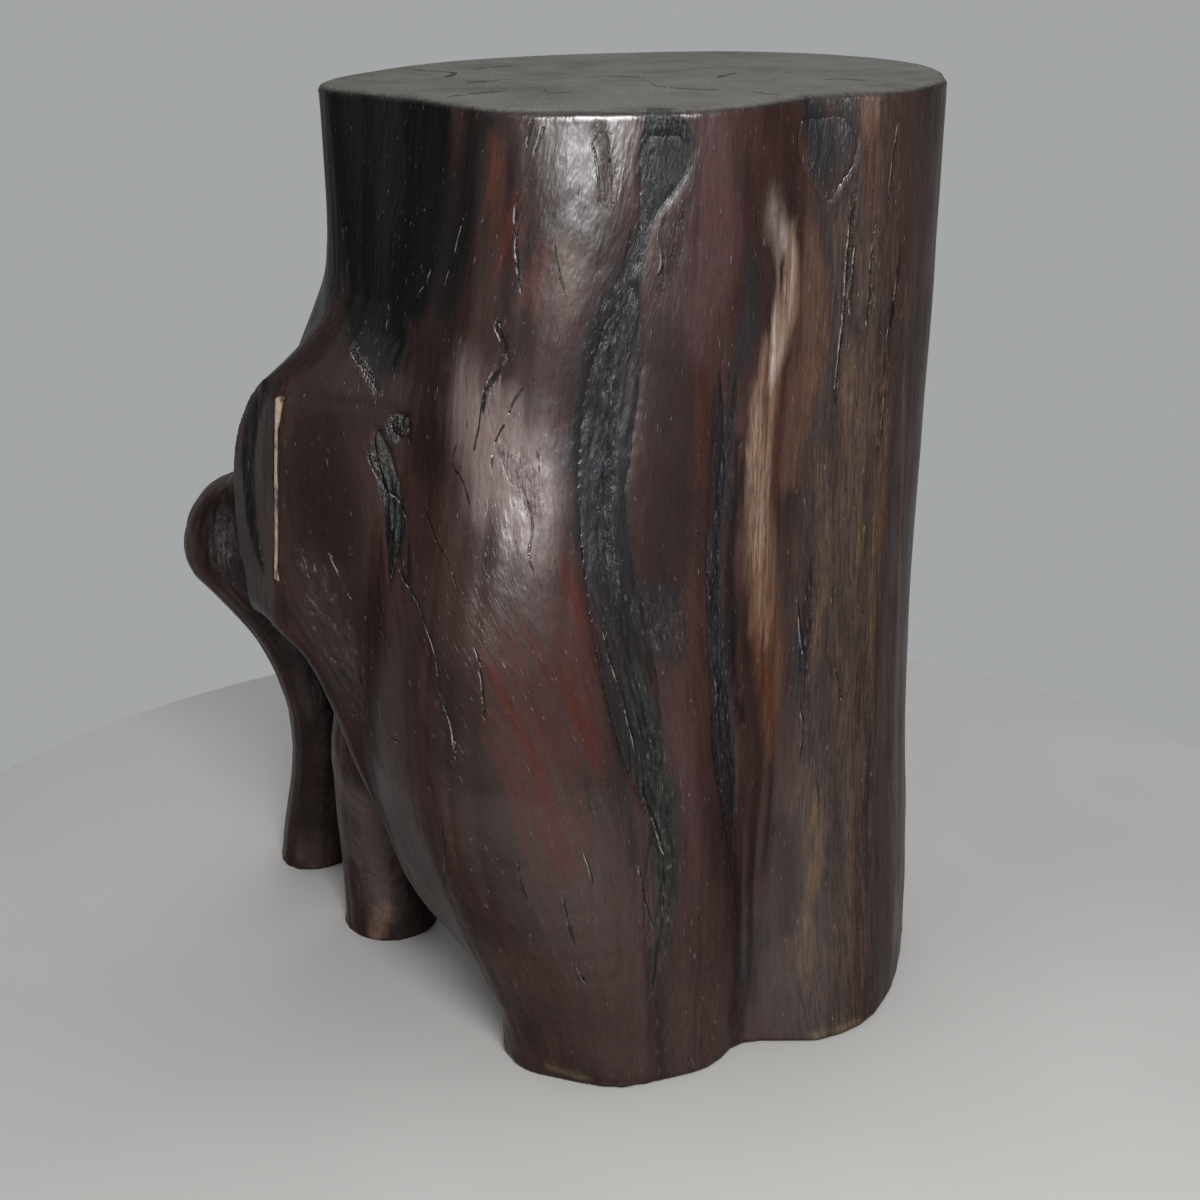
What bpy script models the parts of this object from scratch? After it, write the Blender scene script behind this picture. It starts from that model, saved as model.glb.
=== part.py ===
"""A stool carved from one short log, with the bark, the knot and the filler that lie in its wood.

Metres, +Z up. The origin is on the floor, under the middle of the seat. The stool faces -Y.
A direction is an angle about the log's upright axis, in degrees from +X towards +Y.
"""

import math

import bmesh
import bpy
from mathutils import Vector

# The log: its height, and the radius that its outlines are shares of
SEAT_HEIGHT = 0.450
LOG_RADIUS = 0.140

# The seat's outline: direction, share of the log's radius
SEAT_OUTLINE_SHARES = (
    (0, 0.97), (11, 1.02), (22, 1.095), (38, 1.18), (56, 1.21), (72, 1.17), (90, 1.05), (110, 0.98),
    (135, 0.94), (160, 0.93), (178, 0.98), (191, 0.99), (203, 0.90), (215, 0.83), (229, 0.845),
    (244, 0.91), (256, 0.875), (270, 0.835), (284, 0.815), (297, 0.745), (311, 0.68), (322, 0.69),
    (337, 0.83), (350, 0.90),
)

# The foot's outline on the floor
FOOT_OUTLINE_SHARES = (
    (5, 1.03), (15, 1.10), (32, 1.14), (56, 1.14), (75, 1.09), (95, 1.02), (120, 0.97), (150, 0.96),
    (180, 0.94), (200, 0.86), (215, 0.76), (229, 0.70), (240, 0.76), (252, 0.77), (266, 0.785),
    (280, 0.745), (292, 0.72), (303, 0.67), (312, 0.70), (322, 0.83), (333, 0.92), (348, 0.97),
)

# How far each swelling stands out of the straight log, up its height:
# share of the seat's height, direction, share of the reach, half-width below and above that direction
BELLY_REACH = 0.054
BELLY_SHARES = (
    (0.00, 250, 0.02, 28, 30), (0.10, 246, 0.30, 28, 32), (0.20, 241, 0.66, 28, 32),
    (0.30, 238, 0.95, 27, 31), (0.38, 237, 1.06, 26, 30), (0.46, 237, 1.03, 25, 28),
    (0.53, 238, 0.94, 25, 27), (0.59, 239, 0.79, 26, 26), (0.65, 241, 0.58, 27, 25),
    (0.71, 243, 0.39, 27, 25), (0.78, 246, 0.28, 28, 24), (0.86, 249, 0.19, 30, 24),
    (0.95, 253, 0.06, 28, 26), (1.00, 256, 0.00, 28, 28),
)
FRONT_KNEE_REACH = 0.070
FRONT_KNEE_SHARES = (
    (0.00, 200, 0.12, 12, 26), (0.20, 200, 0.32, 12, 26), (0.30, 197, 0.50, 14, 24),
    (0.42, 191, 0.80, 16, 22), (0.52, 187, 0.97, 18, 21), (0.60, 185, 0.99, 18, 21),
    (0.65, 187, 0.88, 19, 21), (0.69, 191, 0.71, 20, 21), (0.722, 195, 0.52, 20, 21),
    (0.745, 197, 0.34, 20, 21), (0.775, 199, 0.13, 20, 22), (0.82, 200, 0.01, 20, 24),
    (0.88, 200, 0.00, 20, 24), (1.00, 200, 0.00, 20, 24),
)
FRONT_KNEE_SHARPNESS = 1.2
ROUND_SHARPNESS = 2
BACK_KNEE_REACH = 0.100
BACK_KNEE_SHARES = (
    (0.00, 155, 0.50, 20, 12), (0.20, 156, 0.54, 20, 12), (0.29, 158, 0.60, 20, 12),
    (0.345, 160, 0.68, 21, 12), (0.40, 162, 0.84, 22, 12), (0.45, 163, 0.98, 24, 12),
    (0.50, 163, 0.97, 26, 12), (0.556, 163, 0.80, 27, 12), (0.62, 164, 0.55, 28, 13),
    (0.69, 165, 0.38, 28, 14), (0.76, 167, 0.22, 28, 14), (0.81, 168, 0.09, 28, 14),
    (0.86, 168, 0.02, 28, 14), (0.92, 168, 0.00, 28, 14), (1.00, 168, 0.00, 28, 14),
)
WAIST_REACH = 0.005
WAIST_SHARES = (
    (0.00, 0, 0.00, 45, 60), (0.12, 0, 0.10, 45, 60), (0.28, 0, 0.80, 45, 60), (0.45, 0, 1.00, 45, 60),
    (0.60, 0, 0.75, 45, 60), (0.80, 0, 0.20, 45, 60), (1.00, 0, 0.00, 45, 60),
)
KNEE_BLEND = 5

# Valleys and a ridge that run down the face, given as the swellings are
MAIN_VALLEY_DEPTH = 0.003
MAIN_VALLEY_SHARES = (
    (0.00, 274, 0.30, 5, 5), (0.25, 273, 0.60, 5, 5), (0.36, 272, 0.90, 5, 5), (0.52, 268, 1.00, 5, 5),
    (0.66, 263, 1.00, 5, 5), (0.76, 264, 1.00, 5, 5), (0.88, 270, 0.60, 5, 5), (0.96, 274, 0.70, 5, 5),
    (1.00, 274, 0.30, 5, 5),
)
MIDDLE_VALLEY_DEPTH = 0.003
MIDDLE_VALLEY_SHARES = (
    (0.00, 303, 0.80, 5, 5), (0.20, 297, 0.80, 5, 5), (0.35, 293, 1.00, 5, 5), (0.48, 288, 1.00, 4, 4),
    (0.60, 287, 0.90, 4, 4), (0.72, 288, 0.80, 4, 4), (0.84, 286, 0.60, 4, 4), (0.92, 285, 0.10, 4, 4),
    (1.00, 285, 0.00, 4, 4),
)
STREAK_RIDGE_REACH = 0.004
STREAK_RIDGE_SHARES = (
    (0.00, 309, 0.00, 6, 5), (0.25, 309, 0.30, 6, 5), (0.40, 306, 0.90, 6, 5), (0.60, 304, 1.00, 6, 5),
    (0.78, 306, 1.00, 6, 5), (0.88, 307, 0.80, 6, 5), (0.95, 308, 0.20, 6, 5), (1.00, 308, 0.00, 6, 5),
)

# The worn edges round the seat and round the foot
SEAT_EDGE = 0.003
FOOT_EDGE = 0.003

# The flat end of the front knee: where its upright corner lies on the round knee, the way the flat
# runs from it, and its extent
FACET_MIDDLE_SHARE = 0.583
FACET_FLOOR_SHARE = 0.378
FACET_TOP_SHARE = 0.811
FACET_CORNER_DIRECTION = 200
FACET_LENGTH = 0.072
FACET_LEAD = 0.004
FACET_DEPTH = 0.050
FACET_RUN_DIRECTION = 117
FACET_LEAN = -4

# The arch between the log's foot and the two legs, cut from front to back: how far its side is
# from the log's axis, at each depth and height, then its crown
ARCH_WIDTH = 0.300
ARCH_RISE = 0.225
ARCH_DEPTH = 0.260
ARCH_SHARES = (
    # depth, then pairs of (distance left of the axis, height) from the foot up to the crown
    (-1.00, ((0.209, 0.00), (0.213, 0.08), (0.213, 0.142), (0.216, 0.18), (0.242, 0.245), (0.290, 0.29),
             (0.338, 0.345), (0.371, 0.41), (0.400, 0.53), (0.433, 0.635), (0.467, 0.77), (0.498, 0.87),
             (0.525, 0.94), (0.560, 1.01), (0.70, 1.00), (1.1, 0.97))),
    (-0.08, ((0.209, 0.00), (0.213, 0.08), (0.213, 0.142), (0.216, 0.18), (0.242, 0.245), (0.290, 0.29),
             (0.338, 0.345), (0.371, 0.41), (0.400, 0.53), (0.433, 0.635), (0.467, 0.77), (0.498, 0.86),
             (0.525, 0.90), (0.560, 0.92), (0.70, 0.90), (1.1, 0.87))),
    (0.10, ((0.180, 0.00), (0.183, 0.08), (0.190, 0.16), (0.200, 0.24), (0.220, 0.32), (0.250, 0.42),
            (0.285, 0.50), (0.320, 0.57), (0.360, 0.63), (0.400, 0.69), (0.450, 0.74), (0.500, 0.78),
            (0.550, 0.80), (0.600, 0.81), (0.70, 0.81), (1.1, 0.80))),
    (0.45, ((0.200, 0.00), (0.202, 0.08), (0.207, 0.16), (0.215, 0.24), (0.232, 0.32), (0.258, 0.40),
            (0.290, 0.48), (0.325, 0.55), (0.365, 0.61), (0.410, 0.66), (0.460, 0.70), (0.510, 0.73),
            (0.560, 0.74), (0.610, 0.74), (0.70, 0.72), (1.1, 0.70))),
    (1.00, ((0.260, 0.00), (0.261, 0.08), (0.264, 0.16), (0.270, 0.23), (0.284, 0.30), (0.305, 0.37),
            (0.332, 0.44), (0.364, 0.50), (0.400, 0.55), (0.440, 0.59), (0.480, 0.62), (0.520, 0.64),
            (0.565, 0.65), (0.610, 0.65), (0.70, 0.64), (1.1, 0.60))),
)

# The two legs, from their foot up into the wood: share of the arch's rise, centre (left of the axis,
# behind it), half-width, half-depth, turn
LEG_SPREAD = 0.200
MIDDLE_LEG_SHARES = (
    (0.00, 0.655, 0.235, 0.128, 0.132, 15), (0.20, 0.648, 0.185, 0.130, 0.142, 15),
    (0.40, 0.635, 0.080, 0.134, 0.165, 10), (0.58, 0.615, -0.020, 0.140, 0.185, 0),
    (0.76, 0.590, -0.050, 0.130, 0.190, 0), (0.89, 0.580, -0.050, 0.110, 0.160, 0),
)
BACK_LEG_SHARES = (
    (0.00, 0.885, 0.670, 0.122, 0.190, -20), (0.11, 0.870, 0.640, 0.118, 0.190, -20),
    (0.27, 0.835, 0.560, 0.110, 0.185, -20), (0.42, 0.810, 0.480, 0.108, 0.185, -20),
    (0.53, 0.812, 0.430, 0.112, 0.190, -15), (0.64, 0.830, 0.400, 0.126, 0.200, -10),
    (0.74, 0.858, 0.375, 0.150, 0.220, -5), (0.83, 0.900, 0.355, 0.185, 0.240, 0),
    (0.91, 0.945, 0.345, 0.220, 0.250, 0), (0.99, 0.955, 0.335, 0.200, 0.230, 0),
    (1.055, 0.965, 0.330, 0.155, 0.180, 0), (1.10, 0.970, 0.330, 0.090, 0.110, 0),
)

# What lies in the wood: strips of bark and a knot, each in a pocket that fits it with this clearance
CLEARANCE = 0.0003
RECESS = 0.0004
STRIP_STEPS = 14

# A strip's section: its outer face across the width, then its inner side across the width and depth
STRIP_FACE_SHARES = (-1.0, -0.5, 0.0, 0.5, 1.0)
STRIP_BED_SHARES = ((1.0, 0.4), (0.7, 0.8), (0.0, 1.0), (-0.7, 0.8), (-1.0, 0.4))

# Each strip of bark: its half-width, its depth, and its route as height, direction, width share, depth share
SEAM_TOP_HALF_WIDTH = 0.0100
SEAM_TOP_DEPTH = 0.006
SEAM_TOP_SHARES = (
    (0.868, 269.4, 0.10, 0.30), (0.890, 270.0, 0.16, 0.45), (0.912, 271.2, 0.36, 0.80),
    (0.932, 272.8, 0.72, 1.00), (0.952, 274.0, 0.98, 1.00), (0.968, 274.2, 0.92, 0.90),
    (0.980, 274.2, 0.55, 0.50),
)
SEAM_BELLY_HALF_WIDTH = 0.0110
SEAM_BELLY_DEPTH = 0.009
SEAM_BELLY_SHARES = (
    (0.345, 272.6, 0.12, 0.30), (0.370, 272.2, 0.50, 0.70), (0.410, 271.2, 0.82, 1.00),
    (0.462, 269.6, 0.98, 1.00), (0.530, 267.3, 1.02, 1.00), (0.600, 264.6, 0.90, 1.00),
    (0.660, 263.3, 0.86, 1.00), (0.730, 264.1, 1.00, 1.00), (0.790, 265.8, 0.94, 0.90),
    (0.830, 267.2, 0.60, 0.70), (0.852, 268.4, 0.14, 0.30),
)
SEAM_FOOT_HALF_WIDTH = 0.0045
SEAM_FOOT_DEPTH = 0.004
SEAM_FOOT_SHARES = (
    (0.130, 273.3, 0.20, 0.30), (0.180, 273.4, 0.75, 0.90), (0.235, 273.6, 1.00, 1.00),
    (0.285, 273.6, 1.00, 0.90), (0.320, 273.2, 0.25, 0.30),
)
SEAM_MIDDLE_HALF_WIDTH = 0.0070
SEAM_MIDDLE_DEPTH = 0.006
SEAM_MIDDLE_SHARES = (
    (0.235, 296.4, 0.12, 0.30), (0.290, 294.9, 0.42, 0.80), (0.345, 293.0, 0.95, 1.00),
    (0.400, 290.9, 1.00, 1.00), (0.450, 289.2, 0.62, 0.90), (0.520, 287.4, 0.52, 0.80),
    (0.600, 287.0, 0.62, 0.90), (0.670, 287.8, 0.60, 0.90), (0.730, 287.8, 0.40, 0.70),
    (0.775, 287.3, 0.12, 0.30),
)
PATCH_RIGHT_HALF_WIDTH = 0.0140
PATCH_RIGHT_DEPTH = 0.004
PATCH_RIGHT_SHARES = (
    (0.900, 322.5, 0.12, 0.30), (0.915, 322.2, 0.42, 0.70), (0.932, 321.6, 0.80, 1.00),
    (0.952, 321.0, 1.00, 1.00), (0.968, 320.6, 0.96, 0.90), (0.981, 320.4, 0.70, 0.50),
)
POCKET_KNEE_HALF_WIDTH = 0.0075
POCKET_KNEE_DEPTH = 0.006
POCKET_KNEE_SHARES = (
    (0.560, 223.6, 0.12, 0.30), (0.580, 222.8, 0.60, 0.80), (0.604, 221.3, 1.00, 1.00),
    (0.630, 219.4, 0.90, 1.00), (0.655, 217.2, 0.62, 0.90), (0.678, 215.4, 0.40, 0.60),
    (0.694, 214.4, 0.12, 0.30),
)

# The knot: its place and size
KNOT_UP_SHARE = 0.702
KNOT_DIRECTION = 219.3
KNOT_RADIUS = 0.0052
KNOT_ROOT_RADIUS = 0.0030
KNOT_DEPTH = 0.012
KNOT_SHOULDER = 0.005
KNOT_SIDES = 16

# The filler in the split beside the facet's corner
FILLER_FROM_CORNER = 0.0040
FILLER_WIDTH = 0.0024
FILLER_DEPTH = 0.0060
FILLER_MIDDLE_SHARE = 0.617
FILLER_LENGTH = 0.0850

# Mesh density and the length by which cuts overrun
COLUMNS = 88
COLUMN_CROWDING = 0.35
ROWS = 32
EDGE_STEPS = 3
LIMB_SIDES = 20
OVERRUN = 0.020

# Finishes: linear colour and roughness
WOOD_COLOUR = (0.060, 0.022, 0.014)
WOOD_ROUGHNESS = 0.38
BARK_COLOUR = (0.012, 0.013, 0.015)
BARK_ROUGHNESS = 0.60
KNOT_COLOUR = (0.030, 0.016, 0.012)
FILLER_COLOUR = (0.45, 0.34, 0.24)
FILLER_ROUGHNESS = 0.75
SHARP_ANGLE = 35

ROUND = 360


def curve(rows, place):
    """The smooth curve through the rows of a table, whose first column is the place, read at one place."""
    last = len(rows) - 1
    at = 0
    while at < last - 1 and place > rows[at + 1][0]:
        at += 1
    before, low, high, after = rows[max(at - 1, 0)], rows[at], rows[at + 1], rows[min(at + 2, last)]
    span = high[0] - low[0]
    t = min(max((place - low[0]) / span, 0.0), 1.0)
    values = []
    for column in range(1, len(low)):
        slope_low = span * (high[column] - before[column]) / (high[0] - before[0])
        slope_high = span * (after[column] - low[column]) / (after[0] - low[0])
        values.append(
            (2 * t**3 - 3 * t**2 + 1) * low[column] + (t**3 - 2 * t**2 + t) * slope_low
            + (3 * t**2 - 2 * t**3) * high[column] + (t**3 - t**2) * slope_high
        )
    return values


def outline(rows, direction):
    """The share of the log's radius that a closed outline has in one direction."""
    direction = direction % ROUND
    lead = [(rows[i][0] - ROUND, rows[i][1]) for i in (-2, -1)]
    tail = [(rows[i][0] + ROUND, rows[i][1]) for i in (0, 1)]
    return curve(lead + list(rows) + tail, direction)[0]


def turn_between(direction, middle):
    """The signed angle from the middle direction to the given one."""
    half = ROUND / 2
    return (direction - middle + half) % ROUND - half


def swelling(rows, reach, direction, share_up, sharpness=ROUND_SHARPNESS):
    """How far one swelling stands out of the log in one direction at one height."""
    middle, share, below, above = curve(rows, share_up)
    off = turn_between(direction, middle)
    width = below if off < 0 else above
    return reach * share * 0.5 ** (abs(off / width) ** sharpness)


def log_radius(direction, height):
    """The distance from the axis to the log's outer face."""
    up = height / SEAT_HEIGHT
    foot, seat = outline(FOOT_OUTLINE_SHARES, direction), outline(SEAT_OUTLINE_SHARES, direction)
    straight = foot * (1 - up) + seat * up
    swellings = (
        swelling(BELLY_SHARES, BELLY_REACH, direction, up),
        swelling(FRONT_KNEE_SHARES, FRONT_KNEE_REACH, direction, up, FRONT_KNEE_SHARPNESS),
        swelling(BACK_KNEE_SHARES, BACK_KNEE_REACH, direction, up),
    )
    swollen = sum(max(each, 0.0) ** KNEE_BLEND for each in swellings) ** (1 / KNEE_BLEND)
    return (
        LOG_RADIUS * straight
        + swollen
        + swelling(STREAK_RIDGE_SHARES, STREAK_RIDGE_REACH, direction, up)
        - swelling(MAIN_VALLEY_SHARES, MAIN_VALLEY_DEPTH, direction, up)
        - swelling(MIDDLE_VALLEY_SHARES, MIDDLE_VALLEY_DEPTH, direction, up)
        - swelling(WAIST_SHARES, WAIST_REACH, direction, up)
    )


def log_point(direction, height, inset=0.0):
    """The point of the log's outer face in one direction at one height, moved in by the inset."""
    radius = log_radius(direction, height) - inset
    angle = math.radians(direction)
    return Vector((radius * math.cos(angle), radius * math.sin(angle), height))


def column_directions():
    """The directions of the mesh's columns, closer together round the knees."""
    directions = []
    for number in range(COLUMNS):
        even = math.tau * number / COLUMNS
        directions.append(math.degrees(even + COLUMN_CROWDING * math.sin(even)))
    return directions


def bridge_rings(mesh, rings):
    """Quads between each ring of vertices and the next, and a face on each end."""
    for lower, upper in zip(rings, rings[1:]):
        for here in range(len(lower)):
            there = (here + 1) % len(lower)
            mesh.faces.new((lower[here], lower[there], upper[there], upper[here]))
    mesh.faces.new(list(reversed(rings[0])))
    mesh.faces.new(rings[-1])


def solid(name, rings):
    """A closed solid from rings of points, listed from the bottom up."""
    mesh = bmesh.new()
    bridge_rings(mesh, [[mesh.verts.new(point) for point in ring] for ring in rings])
    bmesh.ops.recalc_face_normals(mesh, faces=mesh.faces)
    data = bpy.data.meshes.new(name)
    mesh.to_mesh(data)
    mesh.free()
    made = bpy.data.objects.new(name, data)
    bpy.context.scene.collection.objects.link(made)
    return made


def log_rings():
    """The log's rings of points, with its worn edges."""
    directions = column_directions()
    rings = []
    for step in range(EDGE_STEPS):
        angle = math.pi / 2 * step / EDGE_STEPS
        inset = FOOT_EDGE * (1 - math.sin(angle))
        height = FOOT_EDGE * (1 - math.cos(angle))
        rings.append([log_point(direction, height, inset) for direction in directions])
    for row in range(ROWS):
        height = FOOT_EDGE + (SEAT_HEIGHT - SEAT_EDGE - FOOT_EDGE) * row / ROWS
        rings.append([log_point(direction, height) for direction in directions])
    for step in range(EDGE_STEPS + 1):
        angle = math.pi / 2 * step / EDGE_STEPS
        inset = SEAT_EDGE * (1 - math.cos(angle))
        height = SEAT_HEIGHT - SEAT_EDGE * (1 - math.sin(angle))
        rings.append([log_point(direction, height, inset) for direction in directions])
    return rings


def arch_rings():
    """The arch's rings of points, from the front to the back."""
    rings = []
    for depth, side in ARCH_SHARES:
        ring = [Vector((-ARCH_WIDTH * side[0][0], ARCH_DEPTH * depth, -OVERRUN))]
        ring += [Vector((-ARCH_WIDTH * left, ARCH_DEPTH * depth, ARCH_RISE * up)) for left, up in side]
        ring.append(Vector((-ARCH_WIDTH * side[-1][0], ARCH_DEPTH * depth, -OVERRUN)))
        rings.append(ring)
    return rings


def leg_rings(rows):
    """A leg's rings of points, from its foot up."""
    rings = []
    for up, left, behind, half_width, half_depth, turn in rows:
        turned = math.radians(turn)
        ring = []
        for side in range(LIMB_SIDES):
            angle = math.tau * side / LIMB_SIDES
            across = LEG_SPREAD * half_width * math.cos(angle)
            along = LEG_SPREAD * half_depth * math.sin(angle)
            ring.append(Vector((
                -LEG_SPREAD * left + across * math.cos(turned) - along * math.sin(turned),
                LEG_SPREAD * behind + across * math.sin(turned) + along * math.cos(turned),
                ARCH_RISE * up,
            )))
        rings.append(ring)
    return rings


def facet_frame():
    """The directions along the facet and out of it."""
    along = math.radians(FACET_RUN_DIRECTION)
    run = Vector((math.cos(along), math.sin(along), 0))
    return run, Vector((-run.y, run.x, 0))


def facet_corner(height):
    """The point of the facet's upright corner at one height."""
    out = facet_frame()[1]
    middle = SEAT_HEIGHT * FACET_MIDDLE_SHARE
    corner = log_point(FACET_CORNER_DIRECTION, middle)
    corner.z = height
    return corner + out * (height - middle) * math.sin(math.radians(FACET_LEAN))


def facet_block(name, heights, start, end, inner, outer):
    """A block set against the facet: from start to end along it, from inner to outer across it."""
    run, out = facet_frame()
    rings = []
    for height in heights:
        corner = facet_corner(height)
        rings.append([
            corner + run * start + out * inner,
            corner + run * end + out * inner,
            corner + run * end + out * outer,
            corner + run * start + out * outer,
        ])
    return solid(name, rings)


def strip_rings(rows, half_width, depth, grow, outer_inset):
    """A strip's rings of points along its route, let into the log's face, grown on every side."""
    bottom, top = rows[0][0], rows[-1][0]
    rings = []
    for step in range(STRIP_STEPS + 1):
        share = step / STRIP_STEPS
        up = bottom + (top - bottom) * share
        direction, width_share, depth_share = curve(rows, up)
        height = SEAT_HEIGHT * up + grow * (2 * share - 1)
        half = half_width * width_share + grow
        deep = depth * depth_share + RECESS + grow
        per_metre = math.degrees(1 / log_radius(direction, height))
        outer = [
            log_point(direction + across * half * per_metre, height, outer_inset)
            for across in STRIP_FACE_SHARES
        ]
        inner = [
            log_point(direction + across * half * per_metre, height, deep * sunk)
            for across, sunk in STRIP_BED_SHARES
        ]
        rings.append(outer + inner)
    return rings


def knot_rings(grow, outer_inset):
    """The knot's rings of points, from its root to the log's face."""
    height = SEAT_HEIGHT * KNOT_UP_SHARE
    centre = log_point(KNOT_DIRECTION, height)
    turn = math.degrees(KNOT_RADIUS / log_radius(KNOT_DIRECTION, height))
    beside = log_point(KNOT_DIRECTION + turn, height) - log_point(KNOT_DIRECTION - turn, height)
    above = log_point(KNOT_DIRECTION, height + KNOT_RADIUS) - log_point(KNOT_DIRECTION, height - KNOT_RADIUS)
    beside.normalize()
    outward = beside.cross(above).normalized()
    upward = outward.cross(beside)
    rings = []
    for radius, inset in (
        (KNOT_ROOT_RADIUS, KNOT_DEPTH + grow),
        (KNOT_RADIUS, KNOT_SHOULDER),
        (KNOT_RADIUS, outer_inset),
    ):
        rings.append([
            centre - outward * inset
            + beside * (radius + grow) * math.cos(math.tau * side / KNOT_SIDES)
            + upward * (radius + grow) * math.sin(math.tau * side / KNOT_SIDES)
            for side in range(KNOT_SIDES)
        ])
    return rings


def hide_tool(tool):
    """Marks a solid that only shapes others."""
    tool.hide_render = True
    tool.display_type = "WIRE"


def cut_or_join(target, tool, operation):
    """Adds a Boolean modifier that cuts the tool out of the target, or joins it to the target."""
    modifier = target.modifiers.new(tool.name, "BOOLEAN")
    modifier.operation = operation
    modifier.solver = "EXACT"
    modifier.object = tool
    hide_tool(tool)


def facet_tool():
    """The block whose inner face leaves the flat end of the front knee."""
    heights = (SEAT_HEIGHT * FACET_FLOOR_SHARE, SEAT_HEIGHT * FACET_TOP_SHARE)
    return facet_block("facet", heights, -FACET_LEAD, FACET_LENGTH, 0.0, FACET_DEPTH)


def filler_block(name, grow, outer):
    """The filler's block, grown on every side but the outer one."""
    middle = SEAT_HEIGHT * FILLER_MIDDLE_SHARE
    reach = FILLER_LENGTH / 2 + grow
    start = FILLER_FROM_CORNER - grow
    end = FILLER_FROM_CORNER + FILLER_WIDTH + grow
    return facet_block(name, (middle - reach, middle + reach), start, end, -FILLER_DEPTH - grow, outer)


STRIPS = (
    ("bark_seam_top", SEAM_TOP_SHARES, SEAM_TOP_HALF_WIDTH, SEAM_TOP_DEPTH),
    ("bark_seam_belly", SEAM_BELLY_SHARES, SEAM_BELLY_HALF_WIDTH, SEAM_BELLY_DEPTH),
    ("bark_seam_foot", SEAM_FOOT_SHARES, SEAM_FOOT_HALF_WIDTH, SEAM_FOOT_DEPTH),
    ("bark_seam_middle", SEAM_MIDDLE_SHARES, SEAM_MIDDLE_HALF_WIDTH, SEAM_MIDDLE_DEPTH),
    ("bark_patch_right", PATCH_RIGHT_SHARES, PATCH_RIGHT_HALF_WIDTH, PATCH_RIGHT_DEPTH),
    ("bark_pocket_knee", POCKET_KNEE_SHARES, POCKET_KNEE_HALF_WIDTH, POCKET_KNEE_DEPTH),
)


def finish(piece, colour, roughness):
    """Gives a piece its own material and shades it smooth between its sharp edges."""
    piece.data.shade_smooth()
    piece.data.set_sharp_from_angle(angle=math.radians(SHARP_ANGLE))
    material = bpy.data.materials.new(piece.name)
    material.use_nodes = True
    shader = material.node_tree.nodes["Principled BSDF"]
    shader.inputs["Base Color"].default_value = (*colour, 1.0)
    shader.inputs["Roughness"].default_value = roughness
    shader.inputs["Metallic"].default_value = 0.0
    piece.data.materials.append(material)


def build_trunk():
    """The log with its arch cut, its two legs joined on and the pockets for what lies in it."""
    trunk = solid("trunk", log_rings())
    cut_or_join(trunk, facet_tool(), "DIFFERENCE")
    cut_or_join(trunk, solid("arch", arch_rings()), "DIFFERENCE")
    cut_or_join(trunk, solid("middle_leg", leg_rings(MIDDLE_LEG_SHARES)), "UNION")
    cut_or_join(trunk, solid("back_leg", leg_rings(BACK_LEG_SHARES)), "UNION")
    for name, rows, half_width, depth in STRIPS:
        pocket = solid(f"{name}_pocket", strip_rings(rows, half_width, depth, CLEARANCE, -OVERRUN))
        cut_or_join(trunk, pocket, "DIFFERENCE")
    cut_or_join(trunk, solid("knot_pocket", knot_rings(CLEARANCE, -OVERRUN)), "DIFFERENCE")
    cut_or_join(trunk, filler_block("filler_pocket", CLEARANCE, OVERRUN), "DIFFERENCE")
    finish(trunk, WOOD_COLOUR, WOOD_ROUGHNESS)


def build_inlays():
    """The bark, the knot and the filler."""
    for name, rows, half_width, depth in STRIPS:
        finish(solid(name, strip_rings(rows, half_width, depth, 0.0, RECESS)), BARK_COLOUR, BARK_ROUGHNESS)
    finish(solid("knot_front_left", knot_rings(0.0, RECESS)), KNOT_COLOUR, BARK_ROUGHNESS)
    finish(filler_block("crack_filler_knee", 0.0, -RECESS), FILLER_COLOUR, FILLER_ROUGHNESS)


def build():
    """The whole stool."""
    for old in list(bpy.data.objects):
        bpy.data.objects.remove(old)
    build_trunk()
    build_inlays()


build()
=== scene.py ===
"""The looks of a stool carved from one log: waxed wood, ingrown bark, a knot, a filled split.

Run as a script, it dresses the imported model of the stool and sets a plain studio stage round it.
Lengths are metres. The stool faces -Y. A direction is an angle about the upright axis, in degrees
from +X towards +Y. A stroke or crack in pixels is drawn over the 1200 by 1200 photograph and is
thrown from the camera onto the wood; one round the axis has directions and shares of the height.
"""

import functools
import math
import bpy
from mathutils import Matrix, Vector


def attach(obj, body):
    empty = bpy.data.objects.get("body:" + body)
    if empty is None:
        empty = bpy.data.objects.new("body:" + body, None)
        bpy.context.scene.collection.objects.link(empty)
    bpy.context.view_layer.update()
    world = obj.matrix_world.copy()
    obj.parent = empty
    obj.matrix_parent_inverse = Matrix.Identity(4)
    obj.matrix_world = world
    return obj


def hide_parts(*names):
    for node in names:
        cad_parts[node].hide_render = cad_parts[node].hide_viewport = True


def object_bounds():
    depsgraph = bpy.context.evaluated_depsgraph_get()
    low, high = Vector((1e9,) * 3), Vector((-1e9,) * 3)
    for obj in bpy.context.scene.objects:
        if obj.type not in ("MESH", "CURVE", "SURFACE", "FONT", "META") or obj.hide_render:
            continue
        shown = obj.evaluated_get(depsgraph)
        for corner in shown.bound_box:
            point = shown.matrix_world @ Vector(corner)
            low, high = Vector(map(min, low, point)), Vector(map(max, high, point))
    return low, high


bl_info = {
    "name": "Carved log stool",
    "version": (1, 0, 0),
    "blender": (4, 5, 0),
    "location": "3D View > Sidebar > Stool",
    "description": "Dresses a stool that is carved from one log",
    "category": "Object",
}

import bpy
import numpy as np
from mathutils import Vector, noise
from mathutils.bvhtree import BVHTree
from mathutils.kdtree import KDTree

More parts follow.
